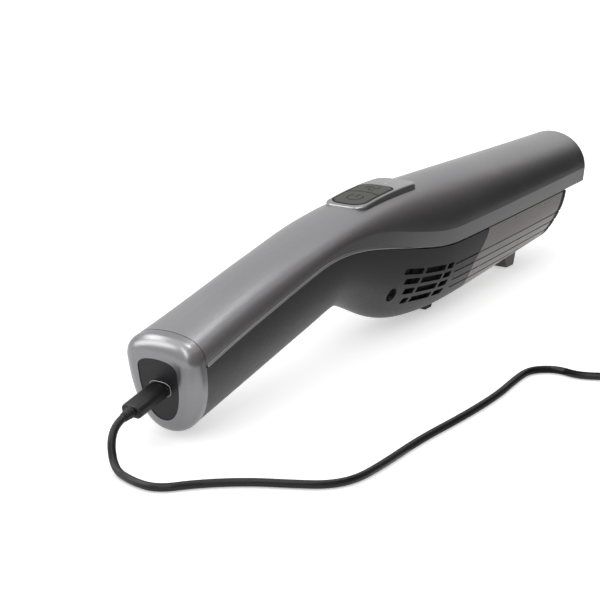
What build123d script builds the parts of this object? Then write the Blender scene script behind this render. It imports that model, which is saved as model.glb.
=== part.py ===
from build123d import *
from math import atan, atan2, ceil, cos, pi, radians, sin, tan
import os

# Handheld vacuum on its charging lead. Millimetres, +X towards the nozzle, +Y left, +Z up.
# Until the last step x is measured from the charging port and z from the table.

# Handle contents
cell_diameter = 18.3
cell_length = 65.0
cell_gap = 1.0
cell_side_gap = 0.8
cradle_wall = 1.6
cradle_ring = 3.0
strip_thickness = 0.3
strip_width = 8.0
board_thickness = 1.6
charge_board_length = 24.0
charge_board_width = 22.0
charge_board_gap = 3.0

# End cap and charging port
cap_length = 11.5
cap_wall = 3.0
cap_round = 8.0
cap_joint = 0.4
cap_tongue = 3.0
cap_tongue_wall = 1.2
panel_margin = 10.0
panel_drop = 3.0
panel_low = 0.7
panel_depth = 1.4
panel_inset = 0.3
port_width = 8.34
port_height = 2.56
port_fit = 0.08
port_metal = 0.25
port_depth = 7.0
port_back = 0.8
tongue_width = 6.54
tongue_thickness = 0.7
plug_gap = 1.2
plug_metal = 0.3
plug_body_width = 11.4
plug_body_height = 6.8
plug_body_length = 22.5
plug_body_round = 1.2
plug_relief_length = 5.5
relief_length = 8.0
relief_diameter = 5.6
relief_lip = 0.3

# Motor and fan
motor_length = 40.0
motor_diameter = 34.0
motor_wall = 1.6
motor_set_back = 61.0
stator_bore = 24.0
rotor_diameter = 22.6
shaft_diameter = 3.0
shaft_tail = 3.0
shaft_nose = 2.0
bearing_diameter = 9.0
bearing_width = 4.0
bearing_wall = 1.5
bracket_thickness = 2.4
fan_diameter = 37.0
fan_width = 11.0
fan_blades = 9
fan_blade = 1.0
fan_sweep = 30.0
fan_plate = 1.2
fan_hub = 9.0
fan_gap = 1.2
shroud_wall = 1.5
shroud_eye = 20.0
shroud_slots = 10
shroud_slot = 7.0
boot_wall = 2.0
boot_depth = 9.0
boot_eye = 24.0
carrier_wall = 2.4
carrier_width = 5.0
foam_thickness = 2.4
bulkhead_set_back = 27.0
bulkhead_thickness = 4.0
seal_thickness = 1.4

# Lengths of the body, from the charging port forward
cap_to_board = 0.5
battery_past_bend = 16.5
cup_length = 154.0
nozzle_setback = 9.0
hood_overhang = 35.0
board_start = cap_wall + cap_to_board
cell_start = board_start + charge_board_length + charge_board_gap
battery_end = cell_start + 2 * cell_length + cell_gap
bend_x = battery_end - battery_past_bend
motor_rear_x = bend_x + motor_set_back
motor_front_x = motor_rear_x + motor_length
bulkhead_x = motor_front_x + bulkhead_set_back
bulkhead_front = bulkhead_x + bulkhead_thickness
nozzle_front = bulkhead_front + cup_length
body_length = nozzle_front + nozzle_setback
mouth_x = body_length - hood_overhang

# Outer form: heights above the table, half widths and the places where they hold
port_rise = 26.7
bend_rise = 54.9
axis_rise = 40.0
rear_top = 53.0
grip_top = 72.3
crown_top = 83.6
shoulder_top = 83.2
nose_top = 75.5
handle_end_bottom = 25.0
throat_bottom = 29.5
belly_back = 9.5
belly_rear = 4.2
belly_bottom = 2.4
cup_bottom = 6.7
mouth_bottom = 11.3
rear_half_width = 21.6
grip_half_width = 19.5
waist_half_width = 22.5
body_half_width = 26.7
nose_half_width = 24.2
grip_x = bend_x - 45.0
crown_x = bend_x + 60.0
shoulder_x = bend_x + 95.0
belly_x = bend_x + 110.0
handle_seam = 36.7
seam_slope = 0.212
body_seam = 44.3
seam_bend_start = bend_x - 30.0
seam_bend_end = bend_x + 117.0
handle_band = 3.0
body_band = 9.4
band_grow = (bend_x - 35.0, bend_x + 45.0)
band_tuck_in = 0.9
tuck_grow = (bend_x - 5.0, bend_x + 80.0)
handle_fullness = 0.66
hood_fullness = 0.56
fullness_fade = (bend_x - 25.0, bend_x + 115.0)
keel_fullness = 0.63
lower_reveal = 0.6
edge_break = 0.5
station_step = 18.0
lower_step = 13.5

# Walls and fits
shell_wall = 2.0
cup_wall = 1.8
seam_gap = 0.8
part_gap = 0.5
trim_gap = 0.12
running_gap = 0.05
slide_gap = 0.4

# Control pad and keys
pad_rear_x = bend_x + 23.0
pad_front_x = bend_x + 88.0
pad_half_width = 12.8
pad_top = 84.4
pad_high_x = bend_x + 66.0
pad_crown_radius = 355.0
pad_wall = 2.0
pad_skirt = 5.2
pad_corner = 7.0
pad_round = 1.2
key_rear_x = pad_rear_x + 5.2
key_split_x = key_rear_x + 17.0
key_front_x = key_split_x + 19.0
key_half_width = 9.9
key_corner = 6.0
key_round = 0.6
key_gap = 0.55
key_proud = 0.4
key_travel = 1.0
key_depth = 4.4
key_stem = 3.6
key_split_bow = 3.0
key_end_bow = 1.2
lens_diameter = 2.4
lens_x = key_front_x + 8.0
board_drop_below_pad = 6.0
board_margin = 3.0
switch_size = 6.0
switch_height = 3.4
switch_plunger = 3.2
plunger_height = 0.8
switch_slack = 0.3

# Vents and grooves
vent_rows = 4
vent_drop = 13.6
vent_pitch = 5.0
vent_height = 3.1
vent_rib = 2.6
vent_start = bend_x + 57.0
vent_columns = (21.2, 24.8, 8.0)
vent_start_shift = 1.1
vent_row_shift = 3.4
vent_end_shift = 2.0
vent_follow = 0.93
vent_fan = 0.12
vent_corner = 0.7
groove_width = 0.8
groove_depth = 0.6
groove_step = 20.0

# Screws
screw_x = bend_x + 48.0
screw_rise = 27.4
screw_recess = 8.0
screw_head = 5.6
screw_head_height = 2.2
screw_head_round = 0.8
screw_cross = (3.2, 0.8)
screw_shank = 3.0
screw_length = 9.0
screw_seat = 15.5
boss_wall = 1.6
boss_floor = 3.0
lug_inner = 9.0
lug_half_height = 4.5
lug_tail = 5.0

# Dust cup, filter and nozzle: the edge and the two sweeps are drawn from the side, top to bottom
edge_from_bulkhead = (
    (28.0, 47.0),
    (24.5, 40.0),
    (17.0, 32.0),
    (10.4, 24.5),
    (8.6, 16.5),
    (14.0, 7.5),
    (25.0, -4.0),
)
mouth_sweep = (
    (3.2, 44.3),
    (1.4, 39.0),
    (-2.8, 32.5),
    (-8.6, 26.0),
    (-12.0, 20.0),
    (-10.6, 12.0),
    (-5.4, 2.0),
)
lip_sweep = (
    (8.6, 44.3),
    (7.0, 39.0),
    (3.6, 32.5),
    (-1.4, 26.0),
    (-4.4, 20.0),
    (-3.0, 12.0),
    (0.6, 2.0),
)
collar_half_width = 20.4
collar_bottom = 13.8
collar_top = 66.0
collar_low_side = 40.0
collar_high_side = 47.0
collar_fullness = 0.62
front_wall = 2.2
lip_proud = 2.4
throat_half_width = 12.0
throat_low = 30.0
throat_high = 50.0
throat_side = 4.0
throat_fullness = 0.9
nozzle_length = 60.0
nozzle_wall = 2.2
flap_thickness = 1.4
flap_margin = 1.5
flap_gap = 0.35
pin_diameter = 2.0
knuckle_wall = 1.3
pin_drop = 4.0
ear_width = 2.0
spigot_diameter = 26.0
spigot_length = 9.0
spigot_wall = 1.8
filter_flange = 35.0
filter_flange_width = 3.0
filter_sleeve = 1.5
filter_seat = 1.5
filter_seat_width = 2.0
filter_length = 46.0
filter_end = 3.0
pleat_outer = 30.0
pleat_inner = 23.0
pleat_core = 0.8
pleat_count = 24
screen_diameter = 33.4
screen_wall = 0.7
screen_slots = 16
screen_slot = 3.0
screen_rim = 4.0
cage_ribs = 6
cage_rib = 1.8

# Feet
rear_foot_x = bend_x + 115.0
rear_foot_length = 8.0
rear_foot_width = 11.0
front_foot_x = mouth_x - 36.0
front_foot_length = 10.0
front_foot_width = 12.0
foot_taper = 20.0
foot_round = 1.2
foot_in_skin = 6.0

# Charging lead: free_run holds the places on the table, from where the lead leaves its plug
cord_diameter = 4.0
floor_gap = 0.05
lead_out = 10.3
free_run = (
    (-15.9, -5.2),
    (-23.5, -22.5),
    (-24.3, -37.0),
    (-9.8, -48.6),
    (4.3, -66.4),
    (13.1, -85.0),
    (20.9, -99.8),
    (33.7, -107.2),
    (55.7, -108.4),
    (93.7, -107.6),
    (131.7, -110.6),
    (168.7, -111.2),
    (196.7, -108.2),
    (211.7, -107.8),
    (219.1, -113.2),
    (222.7, -121.5),
    (219.5, -133.5),
    (226.7, -148.5),
    (235.2, -163.0),
    (244.2, -177.0),
)
arc_share = 0.45
coil_radius = 26.6
coil_pitch = 4.6
coil_layer = 4.7
coil_turns = 4.25
coil_lead_in = 4.0
coil_lift_turns = 0.3
coil_climb_turns = 0.25
coil_tail = 30.0
tie_width = 7.0
tie_wall = 0.8
tie_slack = 0.15
tie_corner = 1.4
supply_body_length = 22.0
supply_body_width = 15.6
supply_body_height = 7.8
supply_body_corner = 2.4
supply_shell_length = 14.0
supply_shell_width = 12.0
supply_shell_height = 4.5
supply_shell_wall = 0.4


def profile(knots, x):
    """Cubic through (place, value, slope) knots, straight beyond both ends."""
    if x <= knots[0][0]:
        place, value, slope = knots[0]
        return value + slope * (x - place)
    for (x0, v0, s0), (x1, v1, s1) in zip(knots, knots[1:]):
        if x <= x1:
            t = (x - x0) / (x1 - x0)
            rise = t * t * (3 - 2 * t)
            leave = t * (1 - t) ** 2
            arrive = t * t * (t - 1)
            return v0 * (1 - rise) + v1 * rise + (x1 - x0) * (s0 * leave + s1 * arrive)
    place, value, slope = knots[-1]
    return value + slope * (x - place)


def ease(x, start, end):
    """0 before start, 1 after end, smooth between."""
    t = min(max((x - start) / (end - start), 0.0), 1.0)
    return t * t * (3 - 2 * t)


def top_z(x):
    return profile((
        (0.0, rear_top, 0.19),
        (grip_x, grip_top, 0.158),
        (crown_x, crown_top, 0.028),
        (shoulder_x, shoulder_top, -0.039),
        (body_length, nose_top, -0.028),
    ), x)


def bottom_z(x):
    return profile((
        (0.0, 0.0, 0.17),
        (bend_x - 20, handle_end_bottom, 0.216),
        (bend_x, throat_bottom, 0.01),
        (bend_x + 55, belly_back, -0.315),
        (bend_x + 80, belly_rear, -0.1),
        (belly_x, belly_bottom, 0.0),
        (belly_x + 85, cup_bottom, 0.061),
        (body_length - 20, mouth_bottom, 0.033),
    ), x)


def half_width(x):
    return profile((
        (0.0, rear_half_width, -0.07),
        (grip_x - 15, grip_half_width, 0.0),
        (grip_x + 80, waist_half_width, 0.065),
        (belly_x + 20, body_half_width, 0.0),
        (body_length, nose_half_width, -0.02),
    ), x)


def seam_z(x):
    return profile((
        (0.0, handle_seam, seam_slope),
        (seam_bend_start, handle_seam + seam_slope * seam_bend_start, seam_slope),
        (seam_bend_end, body_seam, 0.0),
        (body_length, body_seam, 0.0),
    ), x)


def band_height(x):
    return handle_band + (body_band - handle_band) * ease(x, *band_grow)


def band_tuck(x):
    return band_tuck_in * ease(x, *tuck_grow)


def crown_fullness(x):
    return handle_fullness + (hood_fullness - handle_fullness) * ease(x, *fullness_fade)


def station(x):
    """Upright plane across the body: local x is +Y, local y is +Z."""
    return Plane(origin=(x, 0, 0), x_dir=(0, 1, 0), z_dir=(1, 0, 0))


def crown(half, crease, top, fullness):
    """Arch from the right side over the middle to the left side."""
    knee = crease + fullness * (top - crease)
    return [
        Bezier((-half, crease), (-half, knee), (-fullness * half, top), (0, top)),
        Bezier((0, top), (fullness * half, top), (half, knee), (half, crease)),
    ]


def keel(half, seam, bottom, fullness):
    """Trough from the left side under the middle to the right side."""
    knee = seam - fullness * (seam - bottom)
    return [
        Bezier((half, seam), (half, knee), (fullness * half, bottom), (0, bottom)),
        Bezier((0, bottom), (-fullness * half, bottom), (-half, knee), (-half, seam)),
    ]


def upper_wire(x, inset=0.0, sink=0.0):
    """Hood section: crown, crease, tucked-in band, broken edge, flat seam side."""
    half = half_width(x) - inset
    foot = half - band_tuck(x)
    seam = seam_z(x) - sink
    edge = seam + edge_break
    crease = seam_z(x) + band_height(x)
    edges = [Line((edge_break - foot, seam), (-foot, edge)), Line((-foot, edge), (-half, crease))]
    edges += crown(half, crease, top_z(x) - inset, crown_fullness(x))
    edges += [Line((half, crease), (foot, edge)), Line((foot, edge), (foot - edge_break, seam))]
    edges += [Line((foot - edge_break, seam), (edge_break - foot, seam))]
    return station(x).location * Wire(edges)


def lower_wire(x, inset=0.0, rise=0.0):
    """Lower section: trough closed at the seam, or above it by rise."""
    half = half_width(x) - band_tuck(x) - lower_reveal - inset
    seam = seam_z(x) - seam_gap
    if not rise:
        edges = keel(half, seam, bottom_z(x) + inset, keel_fullness)
        edges += [Line((-half, seam), (half, seam))]
        return station(x).location * Wire(edges)
    side_foot = seam - seam_gap
    edges = keel(half, side_foot, bottom_z(x) + inset, keel_fullness)
    edges += [Line((-half, side_foot), (-half, seam + rise))]
    edges += [Line((-half, seam + rise), (half, seam + rise))]
    edges += [Line((half, seam + rise), (half, side_foot))]
    return station(x).location * Wire(edges)


def ring_wire(plane, half, low_side, high_side, bottom, top, low_fullness, high_fullness):
    """Closed oval: trough, upright sides, crown."""
    edges = [Line((-half, low_side), (-half, high_side))]
    edges += crown(half, high_side, top, high_fullness)
    edges += [Line((half, high_side), (half, low_side))]
    edges += keel(half, low_side, bottom, low_fullness)
    return plane.location * Wire(edges)


def full_wire(x, inset=0.0):
    """Whole section of the body at one station."""
    seam = seam_z(x)
    crease = seam + band_height(x)
    return ring_wire(station(x), half_width(x) - inset, seam, crease, bottom_z(x) + inset,
                     top_z(x) - inset, keel_fullness, crown_fullness(x))


def stations(start, end, step):
    count = ceil((end - start) / step)
    return [start + (end - start) * i / count for i in range(count + 1)]


def skin(wire, start, end, step, **offsets):
    return Solid.make_loft([wire(x, **offsets) for x in stations(start, end, step)])


def along_x(wire, length):
    return Solid.extrude(Face(wire), Vector(length, 0, 0))


def tube_x(x, length, diameter, bore=0.0, rise=axis_rise):
    """Round bar or tube on an axis along X."""
    place = Plane(origin=(x, 0, rise), x_dir=(0, 1, 0), z_dir=(1, 0, 0))
    profile_face = Circle(diameter / 2)
    if bore:
        profile_face -= Circle(bore / 2)
    return extrude(place * profile_face, amount=length)


def block(x0, x1, y0, y1, z0, z1):
    return Pos((x0 + x1) / 2, (y0 + y1) / 2, (z0 + z1) / 2) * Box(x1 - x0, y1 - y0, z1 - z0)


def side_prism(points, y0, y1):
    """Prism along Y from an outline drawn in X and Z."""
    outline = make_face(Polyline(*[(x, 0, z) for x, z in points], close=True))
    return Pos(0, y0, 0) * Solid.extrude(outline.face(), Vector(0, y1 - y0, 0))


def mirrored(shape):
    return shape.mirror(Plane.XZ)


# Frame of the handle: local x runs forward along it from the charging port.
pitch = atan((bend_rise - port_rise) / bend_x)
axis_dir = (cos(pitch), 0, sin(pitch))
handle = Plane(origin=(0, 0, port_rise), x_dir=axis_dir, z_dir=(-sin(pitch), 0, cos(pitch)))
parts = {}


def in_handle(u, shape):
    return handle.location * (Pos(u, 0, 0) * shape)


def across_handle(u):
    """Plane square to the handle: local x is +Y, local y is up."""
    origin = (u * cos(pitch), 0, port_rise + u * sin(pitch))
    return Plane(origin=origin, x_dir=(0, 1, 0), z_dir=axis_dir)


def handle_bar(sketch, u0, u1):
    return extrude(across_handle(u0) * sketch, amount=u1 - u0)


far = 2 * body_length
skin_rear = -14.0
core_over = 2.0
core_rise = 4.0
behind_cap = in_handle(cap_length - far / 2 + cap_joint, Box(far, far, far))

# Shapes of the two skins, used again for everything that fits them
lower_skin = skin(lower_wire, skin_rear, body_length, lower_step)
upper_skin = skin(upper_wire, skin_rear, body_length, station_step)


def edge_zone(points, shift, x_far):
    """Everything ahead of (or behind) a curved edge drawn in X and Z, right through the body."""
    curve = Spline(*[(x + shift, 0, z) for x, z in points])
    first, last = points[0], points[-1]
    start = (first[0] + shift, 0, first[1])
    end = (last[0] + shift, 0, last[1])
    close = Polyline(end, (x_far, 0, last[1]), (x_far, 0, first[1]), start)
    outline = Face(Wire([curve] + list(close.edges())))
    return Pos(0, -far / 2, 0) * Solid.extrude(outline, Vector(0, far, 0))


cup_edge = [(bulkhead_x + dx, z) for dx, z in edge_from_bulkhead]
mouth_edge = [(mouth_x + dx, z) for dx, z in mouth_sweep]
lip_edge = [(mouth_x + dx, z) for dx, z in lip_sweep]


def groove_line(row, x):
    """Height of a vent row or groove at a station; the rows fan out towards the handle."""
    level = body_seam - vent_drop - row * vent_pitch
    return level + (seam_z(x) - body_seam) * (vent_follow - row * vent_fan)


def groove_prisms(x0, x1):
    prisms = []
    for row in range(vent_rows):
        places = stations(x0, x1, groove_step)
        over = [(x, groove_line(row, x) + groove_width / 2) for x in places]
        under = [(x, groove_line(row, x) - groove_width / 2) for x in reversed(places)]
        prisms.append(side_prism(over + under, -far / 4, far / 4))
    return prisms


def vent_slots():
    slots = []
    for row in range(vent_rows):
        start = vent_start + vent_start_shift * row
        gaps = [vent_start + sum(vent_columns[:n + 1]) - vent_row_shift * row for n in range(2)]
        end = vent_start + sum(vent_columns) - vent_end_shift * row
        starts = [start] + [g + vent_rib / 2 for g in gaps]
        ends = [g - vent_rib / 2 for g in gaps] + [end]
        for x0, x1 in zip(starts, ends):
            lean = vent_height * vent_row_shift / (2 * vent_pitch)
            low = -vent_height / 2
            high = vent_height / 2
            outline = [
                (x0 - lean, 0, groove_line(row, x0) + low),
                (x1 - lean, 0, groove_line(row, x1) + low),
                (x1 + lean, 0, groove_line(row, x1) + high),
                (x0 + lean, 0, groove_line(row, x0) + high),
            ]
            face = make_face(Polyline(*outline, close=True)).face()
            face = face.fillet_2d(vent_corner, face.vertices())
            slots.append(Pos(0, -far / 4, 0) * Solid.extrude(face, Vector(0, far / 2, 0)))
    return slots


# Upper shell: one moulding from the end cap to the hood lip
core_rear = skin_rear - core_over
core_front = body_length + core_over
core_sink = seam_gap + core_over
upper_core = skin(upper_wire, core_rear, core_front, station_step, inset=shell_wall, sink=core_sink)
upper_shell = upper_skin - upper_core - behind_cap


def pad_outline(grow=0.0):
    rear = pad_rear_x - grow
    front = pad_front_x + grow
    half = pad_half_width + grow
    return Pos((rear + front) / 2, 0, 0) * RectangleRounded(front - rear, 2 * half, pad_corner + grow)


pad_floor = pad_top - pad_skirt
pad_cut = extrude(pad_outline(trim_gap), amount=core_rise + 2 * pad_skirt)
upper_shell -= Pos(0, 0, pad_floor - core_rise) * pad_cut
parts["upper_shell"] = upper_shell

# Lower shell: underside of the handle and the motor housing, with vents and grooves
cup_zone_for_shell = edge_zone(cup_edge, -part_gap / 2, far)
cup_zone = edge_zone(cup_edge, part_gap / 2, far)
lower_core = skin(lower_wire, core_rear, core_front, lower_step, inset=shell_wall, rise=core_rise)
groove_floor = skin(lower_wire, vent_start, core_front, lower_step, inset=groove_depth, rise=core_rise)
lower_shell = lower_skin - lower_core - behind_cap - cup_zone_for_shell
boss_outer = half_width(screw_x)
boss_inner = screw_seat - boss_floor
boss_shape = Rotation(90, 0, 0) * Cylinder(screw_recess / 2 + boss_wall, boss_outer - boss_inner)
boss = Pos(screw_x, -(boss_outer + boss_inner) / 2, screw_rise) * boss_shape
recess_shape = Rotation(90, 0, 0) * Cylinder(screw_recess / 2, far)
recess = Pos(screw_x, -screw_seat - far / 2, screw_rise) * recess_shape
screw_hole = Rotation(90, 0, 0) * Cylinder(screw_shank / 2 + running_gap, far)
for side in (lambda s: s, mirrored):
    lower_shell = lower_shell + (side(boss) & lower_skin)
    lower_shell -= side(recess)
lower_shell -= Pos(screw_x, 0, screw_rise) * screw_hole
lower_shell -= vent_slots()
groove_start = vent_start + sum(vent_columns) + vent_rib
cup_back_x = min(x for x, z in cup_edge)
for cut in groove_prisms(groove_start, cup_edge[0][0]):
    lower_shell -= cut - groove_floor
parts["lower_shell"] = lower_shell

# End cap, with a tongue inside the shells, its dark panel and the charging port
cap_rear_x = skin_rear - core_rise
cap_front_x = cap_length - cap_rear_x
cap_step = 8.0
cap = skin(full_wire, cap_rear_x, cap_front_x, cap_step)
cap &= in_handle(cap_length / 2, Box(cap_length, far, far))
cap_rear = cap.faces().sort_by(Axis(origin=(0, 0, port_rise), direction=axis_dir))[0]
cap = fillet(cap_rear.edges(), cap_round)
tongue_inset = shell_wall + lower_reveal + trim_gap
tongue = skin(full_wire, cap_rear_x, cap_front_x, cap_step, inset=tongue_inset)
cap += tongue & in_handle(cap_length, Box(2 * cap_tongue, far, far))
cap_core = skin(full_wire, cap_rear_x, cap_front_x, cap_step, inset=tongue_inset + cap_tongue_wall)
cap_core &= in_handle(cap_wall + far / 2, Box(far, far, far))
core_rear_face = cap_core.faces().sort_by(Axis(origin=(0, 0, port_rise), direction=axis_dir))[0]
cap -= fillet(core_rear_face.edges(), cap_round - cap_wall)


def rear_outline(margin):
    """Shield outline on the rear face, a margin in from its rim, with lower shoulders."""
    seam = handle_seam - port_rise - panel_drop
    return ring_wire(across_handle(0), rear_half_width - margin, seam, seam + handle_band,
                     bottom_z(0) - port_rise + margin - panel_low, rear_top - port_rise - margin,
                     keel_fullness, crown_fullness(0))


def rear_plate(margin, u0, u1):
    plate = Solid.extrude(Face(rear_outline(margin)), Vector(*axis_dir) * (u1 - u0))
    return Pos(*(Vector(*axis_dir) * u0)) * plate


def port_slot(grow):
    """Oval of the charging plug, grown all round."""
    return SlotOverall(port_width + 2 * grow, port_height + 2 * grow)


port_outer = port_slot(port_fit + port_metal)
port_bore = port_slot(port_fit)
port_hole = port_slot(port_fit + port_metal + trim_gap)
cap -= rear_plate(panel_margin, -cap_wall, panel_depth)
cap -= handle_bar(port_hole, -cap_wall, 2 * cap_wall)
parts["end_cap"] = cap
panel = rear_plate(panel_margin + trim_gap, panel_inset, panel_depth)
parts["port_panel"] = panel - handle_bar(port_hole, -cap_wall, cap_wall)

socket_end = panel_inset + port_depth
tongue_start = panel_inset + panel_depth
socket = handle_bar(port_outer - port_bore, panel_inset, socket_end)
socket += handle_bar(port_outer, socket_end, socket_end + port_back)
socket += handle_bar(Rectangle(tongue_width, tongue_thickness), tongue_start, socket_end)
parts["usb_socket"] = socket
board_drop = port_height / 2 + port_fit + port_metal
charge_board = Box(charge_board_length, charge_board_width, board_thickness)
charge_board_mid = Pos(board_start + charge_board_length / 2, 0, -board_drop - board_thickness / 2)
parts["charge_board"] = handle.location * (charge_board_mid * charge_board)

# Plug of the charging lead, seated in the port
plug_tube = port_slot(0) - port_slot(-plug_metal)
parts["plug_shell"] = handle_bar(plug_tube, -plug_gap, socket_end - plug_metal)
plug_rear = -plug_gap - plug_body_length
plug_corner = 0.42 * plug_body_height
plug_outline = RectangleRounded(plug_body_width, plug_body_height, plug_corner)
plug_body = handle_bar(plug_outline, plug_rear, -plug_gap)
rear_edges = plug_body.edges().group_by(Axis(origin=(0, 0, port_rise), direction=axis_dir))[0]
parts["plug_body"] = fillet(rear_edges, plug_body_round)
on_end = (Align.CENTER, Align.CENTER, Align.MIN)
relief = Plane(across_handle(plug_rear).origin, x_dir=(0, 1, 0), z_dir=(-axis_dir[0], 0, -axis_dir[2]))
relief_tip = cord_diameter / 2 + relief_lip
relief_cone = Cone(relief_diameter / 2, relief_tip, plug_relief_length, align=on_end)
parts["plug_relief"] = relief.location * relief_cone

# Battery: two pairs of round cells in a cradle along the handle
cell_offset = (cell_diameter + cell_side_gap) / 2
cell_starts = (cell_start, cell_start + cell_length + cell_gap)
cell_places = [(u, side * cell_offset) for u in cell_starts for side in (-1, 1)]


def cell_bar(u, drop, diameter, length):
    return handle_bar(Pos(0, drop) * Circle(diameter / 2), u, u + length)


cells = [cell_bar(u, drop, cell_diameter, cell_length) for u, drop in cell_places]
parts["battery_cells"] = Compound(cells)
cradle_width = cell_diameter + 2 * cradle_wall
cradle_outline = Rot(0, 0, 90) * SlotOverall(2 * cell_offset + cradle_width, cradle_width)
ring_first = cell_start + part_gap
ring_last = battery_end - part_gap - cradle_ring
ring_spots = (ring_first, (ring_first + ring_last) / 2, ring_last)
rail_length = ring_last + cradle_ring - ring_first
rail_width = 1.5 * cradle_wall
rail_y = cradle_width / 2 - rail_width / 2
cradle = handle_bar(cradle_outline, ring_first, ring_first + cradle_ring)
for u in ring_spots[1:]:
    cradle += handle_bar(cradle_outline, u, u + cradle_ring)
for side in (-1, 1):
    rail = Pos(rail_length / 2, side * rail_y, 0) * Box(rail_length, rail_width, rail_width)
    cradle += in_handle(ring_first, rail)
for drop in (-cell_offset, cell_offset):
    cradle -= cell_bar(0, drop, cell_diameter + 2 * trim_gap, 2 * battery_end)
parts["battery_cradle"] = cradle
strip = Box(strip_thickness, strip_width, 2 * cell_offset + strip_width)
strip_spots = (cell_start - strip_thickness / 2, battery_end + strip_thickness / 2)
parts["battery_strips"] = Compound([in_handle(u, strip) for u in strip_spots])

# Control pad, keys, lens and the board behind them
def crown_z(x):
    """Height of the pad's top at a station."""
    return pad_top - (x - pad_high_x) ** 2 / (2 * pad_crown_radius)


def under_crown(rise):
    """Everything under the pad's crowned top, raised by rise."""
    rear = pad_rear_x - pad_corner
    front = pad_front_x + pad_corner
    low = pad_floor - 2 * pad_skirt
    points = [(x, 0, crown_z(x) + rise) for x in (rear, pad_high_x, front)]
    base = Polyline(points[2], (front, 0, low), (rear, 0, low), points[0])
    outline = Face(Wire([ThreePointArc(*points)] + list(base.edges())))
    return Pos(0, -2 * pad_half_width, 0) * Solid.extrude(outline, Vector(0, 4 * pad_half_width, 0))


pad = (Pos(0, 0, pad_floor) * extrude(pad_outline(), amount=2 * pad_skirt)) & under_crown(0)
pad = fillet(pad.faces().sort_by(Axis.Z)[-1].edges(), pad_round)
pad_inside = Pos(0, 0, pad_floor - pad_wall) * extrude(pad_outline(-pad_wall), amount=2 * pad_skirt)
pad -= pad_inside & under_crown(-pad_wall)


def key_outline(x0, x1, rear_bow, front_bow, half):
    """Key seen from above: straight sides and bowed ends."""
    edges = [
        Line((x0, -half), (x1, -half)),
        ThreePointArc((x1, -half), (x1 + front_bow, 0), (x1, half)),
        Line((x1, half), (x0, half)),
        ThreePointArc((x0, half), (x0 - rear_bow, 0), (x0, -half)),
    ]
    return Face(Wire(edges))


def round_corners(face, x_end, radius):
    corners = [v for v in face.vertices() if abs(v.X - x_end) < trim_gap]
    return face.fillet_2d(radius, corners)


def key_window(grow):
    rear = key_rear_x - grow
    front = key_front_x + grow
    face = key_outline(rear, front, key_end_bow, key_end_bow, key_half_width + grow)
    return round_corners(round_corners(face, rear, key_corner + grow), front, key_corner + grow)


def key_solid(face):
    """Key cap with a guide stem towards its switch."""
    middle = face.center()
    key_floor = pad_top + key_proud - key_depth
    key_cap = extrude(Pos(0, 0, key_floor) * face, amount=2 * key_depth) & under_crown(key_proud)
    key_cap = fillet(key_cap.faces().sort_by(Axis.Z)[-1].edges(), key_round)
    stem = Cylinder(key_stem / 2, key_floor - key_stem_end, align=on_end)
    return key_cap + Pos(middle.X, 0, key_stem_end) * stem


board_top = pad_floor - board_drop_below_pad
key_stem_end = board_top + switch_height + key_travel + switch_slack
power_face = key_outline(key_rear_x, key_split_x, key_end_bow, key_split_bow, key_half_width)
power_face = round_corners(power_face, key_rear_x, key_corner)
mode_rear_x = key_split_x + 2 * key_gap
mode_face = key_outline(mode_rear_x, key_front_x, -key_split_bow, key_end_bow, key_half_width)
mode_face = round_corners(mode_face, key_front_x, key_corner)
pad -= Pos(0, 0, pad_floor - pad_wall) * Solid.extrude(key_window(key_gap), Vector(0, 0, 2 * pad_skirt))
lens_top = crown_z(lens_x)
lens_place = Pos(lens_x, 0, lens_top - pad_wall)
pad -= lens_place * Cylinder(lens_diameter / 2 + trim_gap, 3 * pad_wall)
parts["control_pad"] = pad
parts["power_key"] = key_solid(power_face)
parts["mode_key"] = key_solid(mode_face)
lens = Cylinder(lens_diameter / 2, pad_wall, align=(Align.CENTER, Align.CENTER, Align.MAX))
parts["status_lens"] = Pos(lens_x, 0, lens_top) * lens
board_front = pad_front_x - pad_corner
board_half = pad_half_width - board_margin
parts["control_board"] = block(pad_rear_x + pad_corner, board_front, -board_half, board_half,
                               board_top - board_thickness, board_top)
switch_spots = [face.center().X for face in (power_face, mode_face)]


def tact_switch(x):
    half = switch_size / 2
    shoulder = board_top + switch_height - plunger_height
    body = block(x - half, x + half, -half, half, board_top, shoulder)
    plunger = Cylinder(switch_plunger / 2, plunger_height, align=on_end)
    return body + Pos(x, 0, shoulder) * plunger


parts["tact_switches"] = Compound([tact_switch(x) for x in switch_spots])

# Motor, fan and the pieces that hold them
motor_bore = motor_diameter - 2 * motor_wall
bearing_bore = shaft_diameter + 2 * running_gap
can = tube_x(motor_rear_x, motor_length, motor_diameter, motor_bore)
can += tube_x(motor_rear_x, motor_wall, motor_diameter, bearing_diameter)
can += tube_x(motor_front_x - motor_wall, motor_wall, motor_diameter, bearing_diameter)
bearing_cup = bearing_diameter + 2 * bearing_wall
can += tube_x(motor_rear_x, bearing_width, bearing_cup, bearing_diameter)
can += tube_x(motor_front_x - bearing_width, bearing_width, bearing_cup, bearing_diameter)
parts["motor_can"] = can
bearing_spots = (motor_rear_x, motor_front_x - bearing_width)
bearings = [tube_x(x, bearing_width, bearing_diameter, bearing_bore) for x in bearing_spots]
parts["motor_bearings"] = Compound(bearings)
stator_margin = bearing_width + 2 * bearing_wall
stator_length = motor_length - 2 * stator_margin
stator_diameter = motor_bore - 2 * running_gap
parts["motor_stator"] = tube_x(motor_rear_x + stator_margin, stator_length, stator_diameter, stator_bore)
rotor_margin = bearing_width + bearing_wall
rotor_length = motor_length - 2 * rotor_margin
parts["motor_rotor"] = tube_x(motor_rear_x + rotor_margin, rotor_length, rotor_diameter, shaft_diameter)
bracket_x = motor_front_x
bracket_front = bracket_x + bracket_thickness
fan_x = bracket_front + fan_gap
shaft_length = fan_x + fan_width + shaft_nose - motor_rear_x + shaft_tail
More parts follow.
